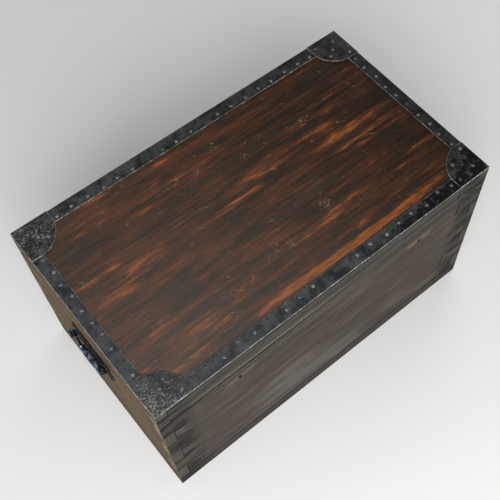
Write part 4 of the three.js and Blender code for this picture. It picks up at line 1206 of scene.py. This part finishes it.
handles = {
    "plateGap": 0.0003,
    "plateThickness": 0.0025,
    "plateCorner": 0.015,
    "cornerSteps": 9,
    "plateArris": 0.0006,
    "earSpacing": 0.114,
    "earWidth": 0.013,
    "earRadius": 0.0085,
    "earSteps": 16,
    # shares of the ear's radius: half the height of its foot on the plate, and where that ends
    "footShare": 1.35,
    "footTopShare": 1.02,
    "footSink": 0.001,
    "footHeight": 0.0022,
    "bailRadius": 0.004,
    "bailSides": 20,
    "bailDrop": 0.038,
    "bend": 0.0065,
    "bendSteps": 8,
    "headRadius": 0.006,
    "headLength": 0.0025,
    # shares of the head's radius and of its length
    "headProfile": [(0.9, 0), (1, 0.25), (0.96, 0.6), (0.75, 0.9), (0.4, 1)],
    "gap": 0.0006,
    "gripRadius": 0.008,
    "gripSides": 40,
    # shares of the grip's half length and of its radius, from its end to its middle
    "gripProfile": [
        (1.0, 0.62), (1.0, 0.84), (0.99, 0.93), (0.975, 0.98), (0.96, 1.0), (0.945, 0.98), (0.93, 0.93),
        (0.92, 0.84), (0.905, 0.76), (0.885, 0.74), (0.865, 0.76), (0.85, 0.82), (0.83, 0.84), (0.81, 0.82),
        (0.8, 0.84), (0.74, 0.88), (0.66, 0.92), (0.56, 0.955), (0.44, 0.98), (0.3, 0.995), (0.2, 1.0),
        (0.12, 1.0), (0.1, 0.97), (0.085, 0.92), (0.07, 0.97), (0.05, 1.0), (0.03, 1.0), (0.015, 0.97),
        (0.0, 0.92),
    ],
    "screwRadius": 0.004,
    "screwDome": 0.0016,
    "screwInset": 0.0095,
    "screwGap": 0.0003,
}


def roundedOutline(low, high, radius, steps):
    middle, reach = (low + high) / 2, (high - low) / 2
    points = []
    for sideX, sideY, start in ((1, 1, 0), (-1, 1, 90), (-1, -1, 180), (1, -1, 270)):
        x, y = middle.x + sideX * (reach.x - radius), middle.y + sideY * (reach.y - radius)
        for i in range(steps + 1):
            angle = math.radians(start + 90 * i / steps)
            points.append((x + radius * math.cos(angle), y + radius * math.sin(angle)))
    return points


def earOutline(side, outer, axisX, axisZ):
    # seen along the bail's axis, from a wide foot on the plate to the round end
    r = handles["earRadius"]
    foot = outer - side * handles["footSink"]
    top = outer + side * handles["footHeight"]
    low, high = r * handles["footShare"], r * handles["footTopShare"]
    points = [(foot, low), (foot, -low), (top, -high)]
    for i in range(handles["earSteps"] + 1):
        angle = -math.pi / 2 + math.pi * i / handles["earSteps"]
        points.append((axisX + side * r * math.cos(angle), r * math.sin(angle)))
    return [(x, axisZ + z) for x, z in points + [(top, high)]]


def makeHandlePlate(name, side, axisX, axisZ):
    node = f"handle_plate_{name}"
    low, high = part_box(node)
    face = side * (trunk["halfLength"] + handles["plateGap"])
    outer = face + side * handles["plateThickness"]
    mesh = bmesh.new()
    outline = roundedOutline(low.yz, high.yz, handles["plateCorner"], handles["cornerSteps"])
    prism(mesh, 0, outline, face, outer)
    for end in (-1, 1):
        centre, half = end * handles["earSpacing"] / 2, handles["earWidth"] / 2
        prism(mesh, 1, earOutline(side, outer, axisX, axisZ), centre - half, centre + half, 1)
    faceOutward(mesh)
    finishes = ["handlePlate", "handleEdge"]
    piece = addPiece(f"{name}_handle_plate_iron", mesh, "case", finishes, [node])
    addBevel(piece, handles["plateArris"], 3, 1, 40)
    mesh = bmesh.new()
    inset = handles["screwInset"]
    for y in (low.y + inset, high.y - inset):
        for z in (low.z + inset, high.z - inset):
            place = (outer + side * handles["screwGap"], y, z)
            screwHead(mesh, place, (side, 0, 0), handles["screwRadius"], handles["screwDome"])
    nodes = [f"handle_screw_{name}_{i}" for i in (1, 2, 3, 4)]
    addPiece(f"{name}_handle_screws", mesh, "case", ["handleEdge"], nodes)


def bailPath(tip, axisZ):
    # the bar's middle line in (y, z), from ear to ear, with its bends rounded
    arm = (handles["earSpacing"] - handles["earWidth"]) / 2 - handles["gap"] - handles["bend"]
    foot = axisZ - handles["bailDrop"]
    corners = [(tip, axisZ), (arm, axisZ), (arm, foot), (-arm, foot), (-arm, axisZ), (-tip, axisZ)]
    points = [Vector(corner) for corner in corners]
    path = [points[0]]
    for before, corner, after in zip(points, points[1:], points[2:]):
        inward, outward = (before - corner).normalized(), (after - corner).normalized()
        hub = corner + (inward + outward) * handles["bend"]
        for i in range(handles["bendSteps"] + 1):
            angle = math.pi / 2 * i / handles["bendSteps"]
            path.append(hub - (outward * math.cos(angle) + inward * math.sin(angle)) * handles["bend"])
    return path + [points[-1]]


def sweep(mesh, path, radius, sides, axisX):
    rings = []
    for i, point in enumerate(path):
        ahead = path[min(i + 1, len(path) - 1)] - path[max(i - 1, 0)]
        across = Vector((1, 0, 0))
        up = Vector((0, ahead.x, ahead.y)).normalized().cross(across)
        rings.append([
            Vector((axisX, point.x, point.y)) + (across * math.cos(a) + up * math.sin(a)) * radius
            for a in (2 * math.pi * k / sides for k in range(sides))
        ])
    loft(mesh, rings)


def makeHandle(name, side):
    low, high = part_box(f"grip_{name}")
    axisX = (low.x + high.x) / 2
    gripZ = (low.z + high.z) / 2
    axisZ = gripZ + handles["bailDrop"]
    makeHandlePlate(name, side, axisX, axisZ)
    headStart = (handles["earSpacing"] + handles["earWidth"]) / 2 + handles["gap"]
    radius, length, sides = handles["headRadius"], handles["headLength"], handles["bailSides"]
    mesh = bmesh.new()
    sweep(mesh, bailPath(headStart + length / 2, axisZ), handles["bailRadius"], sides, axisX)
    profile = [(r * radius, a * length) for r, a in handles["headProfile"]]
    for end in (-1, 1):
        turned(mesh, profile, sides, (axisX, end * headStart, axisZ), (0, end, 0))
    faceOutward(mesh)
    body = f"handle_{name}"
    addPiece(f"{name}_bail_iron", mesh, body, ["handle"], [f"bail_{name}"], True)
    half = (high.y - low.y) / 2
    profile = [(r * handles["gripRadius"], -a * half) for a, r in handles["gripProfile"]]
    profile += [(r, -along) for r, along in reversed(profile[:-1])]
    mesh = bmesh.new()
    turned(mesh, profile, handles["gripSides"], (axisX, 0, gripZ), (0, 1, 0))
    faceOutward(mesh)
    addPiece(f"{name}_grip_iron", mesh, body, ["grip"], [f"grip_{name}"], True)


hinges = {
    "axisY": 0.255,
    "axisZ": 0.41415,
    "length": 0.09,
    "knuckles": 5,
    "knuckleRadius": 0.0045,
    "knuckleGap": 0.0003,
    "knuckleArris": 0.0004,
    "knuckleSides": 28,
    "clearance": 0.0009,
    "pinSides": 20,
    "pinRadius": 0.002,
    # shares of the pin's radius, and how far from its end
    "pinEnd": [(0.5, 0), (0.9, 0.0004), (1, 0.001)],
    "leafWidth": 0.0145,
    "leafThickness": 0.0025,
    "leafArris": 0.0002,
    "screwSpacing": 0.032,
    "screwInset": 0.009,
    "screwRadius": 0.0032,
    "screwDome": 0.0001,
}


def bar(mesh, end, length, sides, place):
    # a round bar along the trunk, with the same profile at both ends
    profile = end + [(radius, length - along) for radius, along in reversed(end)]
    turned(mesh, profile, sides, place, (1, 0, 0))


def makeLeaf(end, owner, body, first, face, up):
    low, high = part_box(f"hinge_leaf_body_{end}")
    centre = (low.x + high.x) / 2
    y, radius, arris = hinges["axisY"], hinges["knuckleRadius"], hinges["knuckleArris"]
    foot, top = sorted((face, face - up * hinges["leafThickness"]))
    clear = y - radius - hinges["clearance"]
    mesh = bmesh.new()
    slab(mesh, (low.x, y - hinges["leafWidth"], foot), (high.x, clear, top))
    pitch = hinges["length"] / hinges["knuckles"]
    length = pitch - hinges["knuckleGap"]
    for knuckle in range(first, hinges["knuckles"], 2):
        start = centre - hinges["length"] / 2 + knuckle * pitch + hinges["knuckleGap"] / 2
        slab(mesh, (start, clear, foot), (start + length, y, top))
        profile = [(radius - arris, 0), (radius, arris)]
        bar(mesh, profile, length, hinges["knuckleSides"], (start, y, hinges["axisZ"]))
    for step in (-1, 0, 1):
        place = (centre + step * hinges["screwSpacing"], y - hinges["screwInset"], face)
        screwHead(mesh, place, (0, 0, up), hinges["screwRadius"], hinges["screwDome"], 1)
    faceOutward(mesh)
    finishes, node = ["hinge", "hingeScrew"], f"hinge_leaf_{owner}_{end}"
    piece = addPiece(f"{end}_hinge_{owner}_leaf", mesh, body, finishes, [node])
    addBevel(piece, hinges["leafArris"], 1, angle=50)


def makeHinges():
    for end in ("left", "right"):
        makeLeaf(end, "body", "case", 0, trunk["joint"], 1)
        makeLeaf(end, "lid", "lid", 1, trunk["lidFoot"], -1)
        low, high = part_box(f"hinge_pin_{end}")
        profile = [(r * hinges["pinRadius"], along) for r, along in hinges["pinEnd"]]
        mesh = bmesh.new()
        bar(mesh, profile, high.x - low.x, hinges["pinSides"], (low.x, hinges["axisY"], hinges["axisZ"]))
        faceOutward(mesh)
        node = f"hinge_pin_{end}"
        addPiece(f"{end}_hinge_pin_iron", mesh, "case", ["hingeScrew"], [node], True)


battenScrews = {
    "across": 0.018,
    "places": (-0.2, -0.1, 0.0, 0.1, 0.2),
    "radius": 0.0036,
    "dome": 0.0003,
    "gap": 0.0001,
}


def makeBattenScrews():
    for place, body in (("lid", "lid"), ("bottom", "case")):
        for end in ("left", "right"):
            low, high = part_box(f"{place}_batten_{end}")
            mesh = bmesh.new()
            for index, y in enumerate(battenScrews["places"]):
                x = (low.x + high.x) / 2 + battenScrews["across"] * (1 if index % 2 else -1)
                seat = (x, y, low.z - battenScrews["gap"])
                screwHead(mesh, seat, (0, 0, -1), battenScrews["radius"], battenScrews["dome"])
            faceOutward(mesh)
            addPiece(f"{end}_{place}_batten_screws", mesh, body, ["hingeScrew"])


# The scene

addCamera()
for lamp in lamps:
    addLamp(lamp)
addWorld()
addFloor()
bpy.context.scene.view_settings.view_transform = "Standard"
print("camera, lamps and floor are set")
paints = makePaints()
print("materials are made")
makeBoards()
print("boards are made")
makeStrips()
makePlates()
makeNails()
print("iron on the lid is made")
makeHandle("left", -1)
makeHandle("right", 1)
print("handles are made")
makeHinges()
makeBattenScrews()
print("hinges and screws are made")
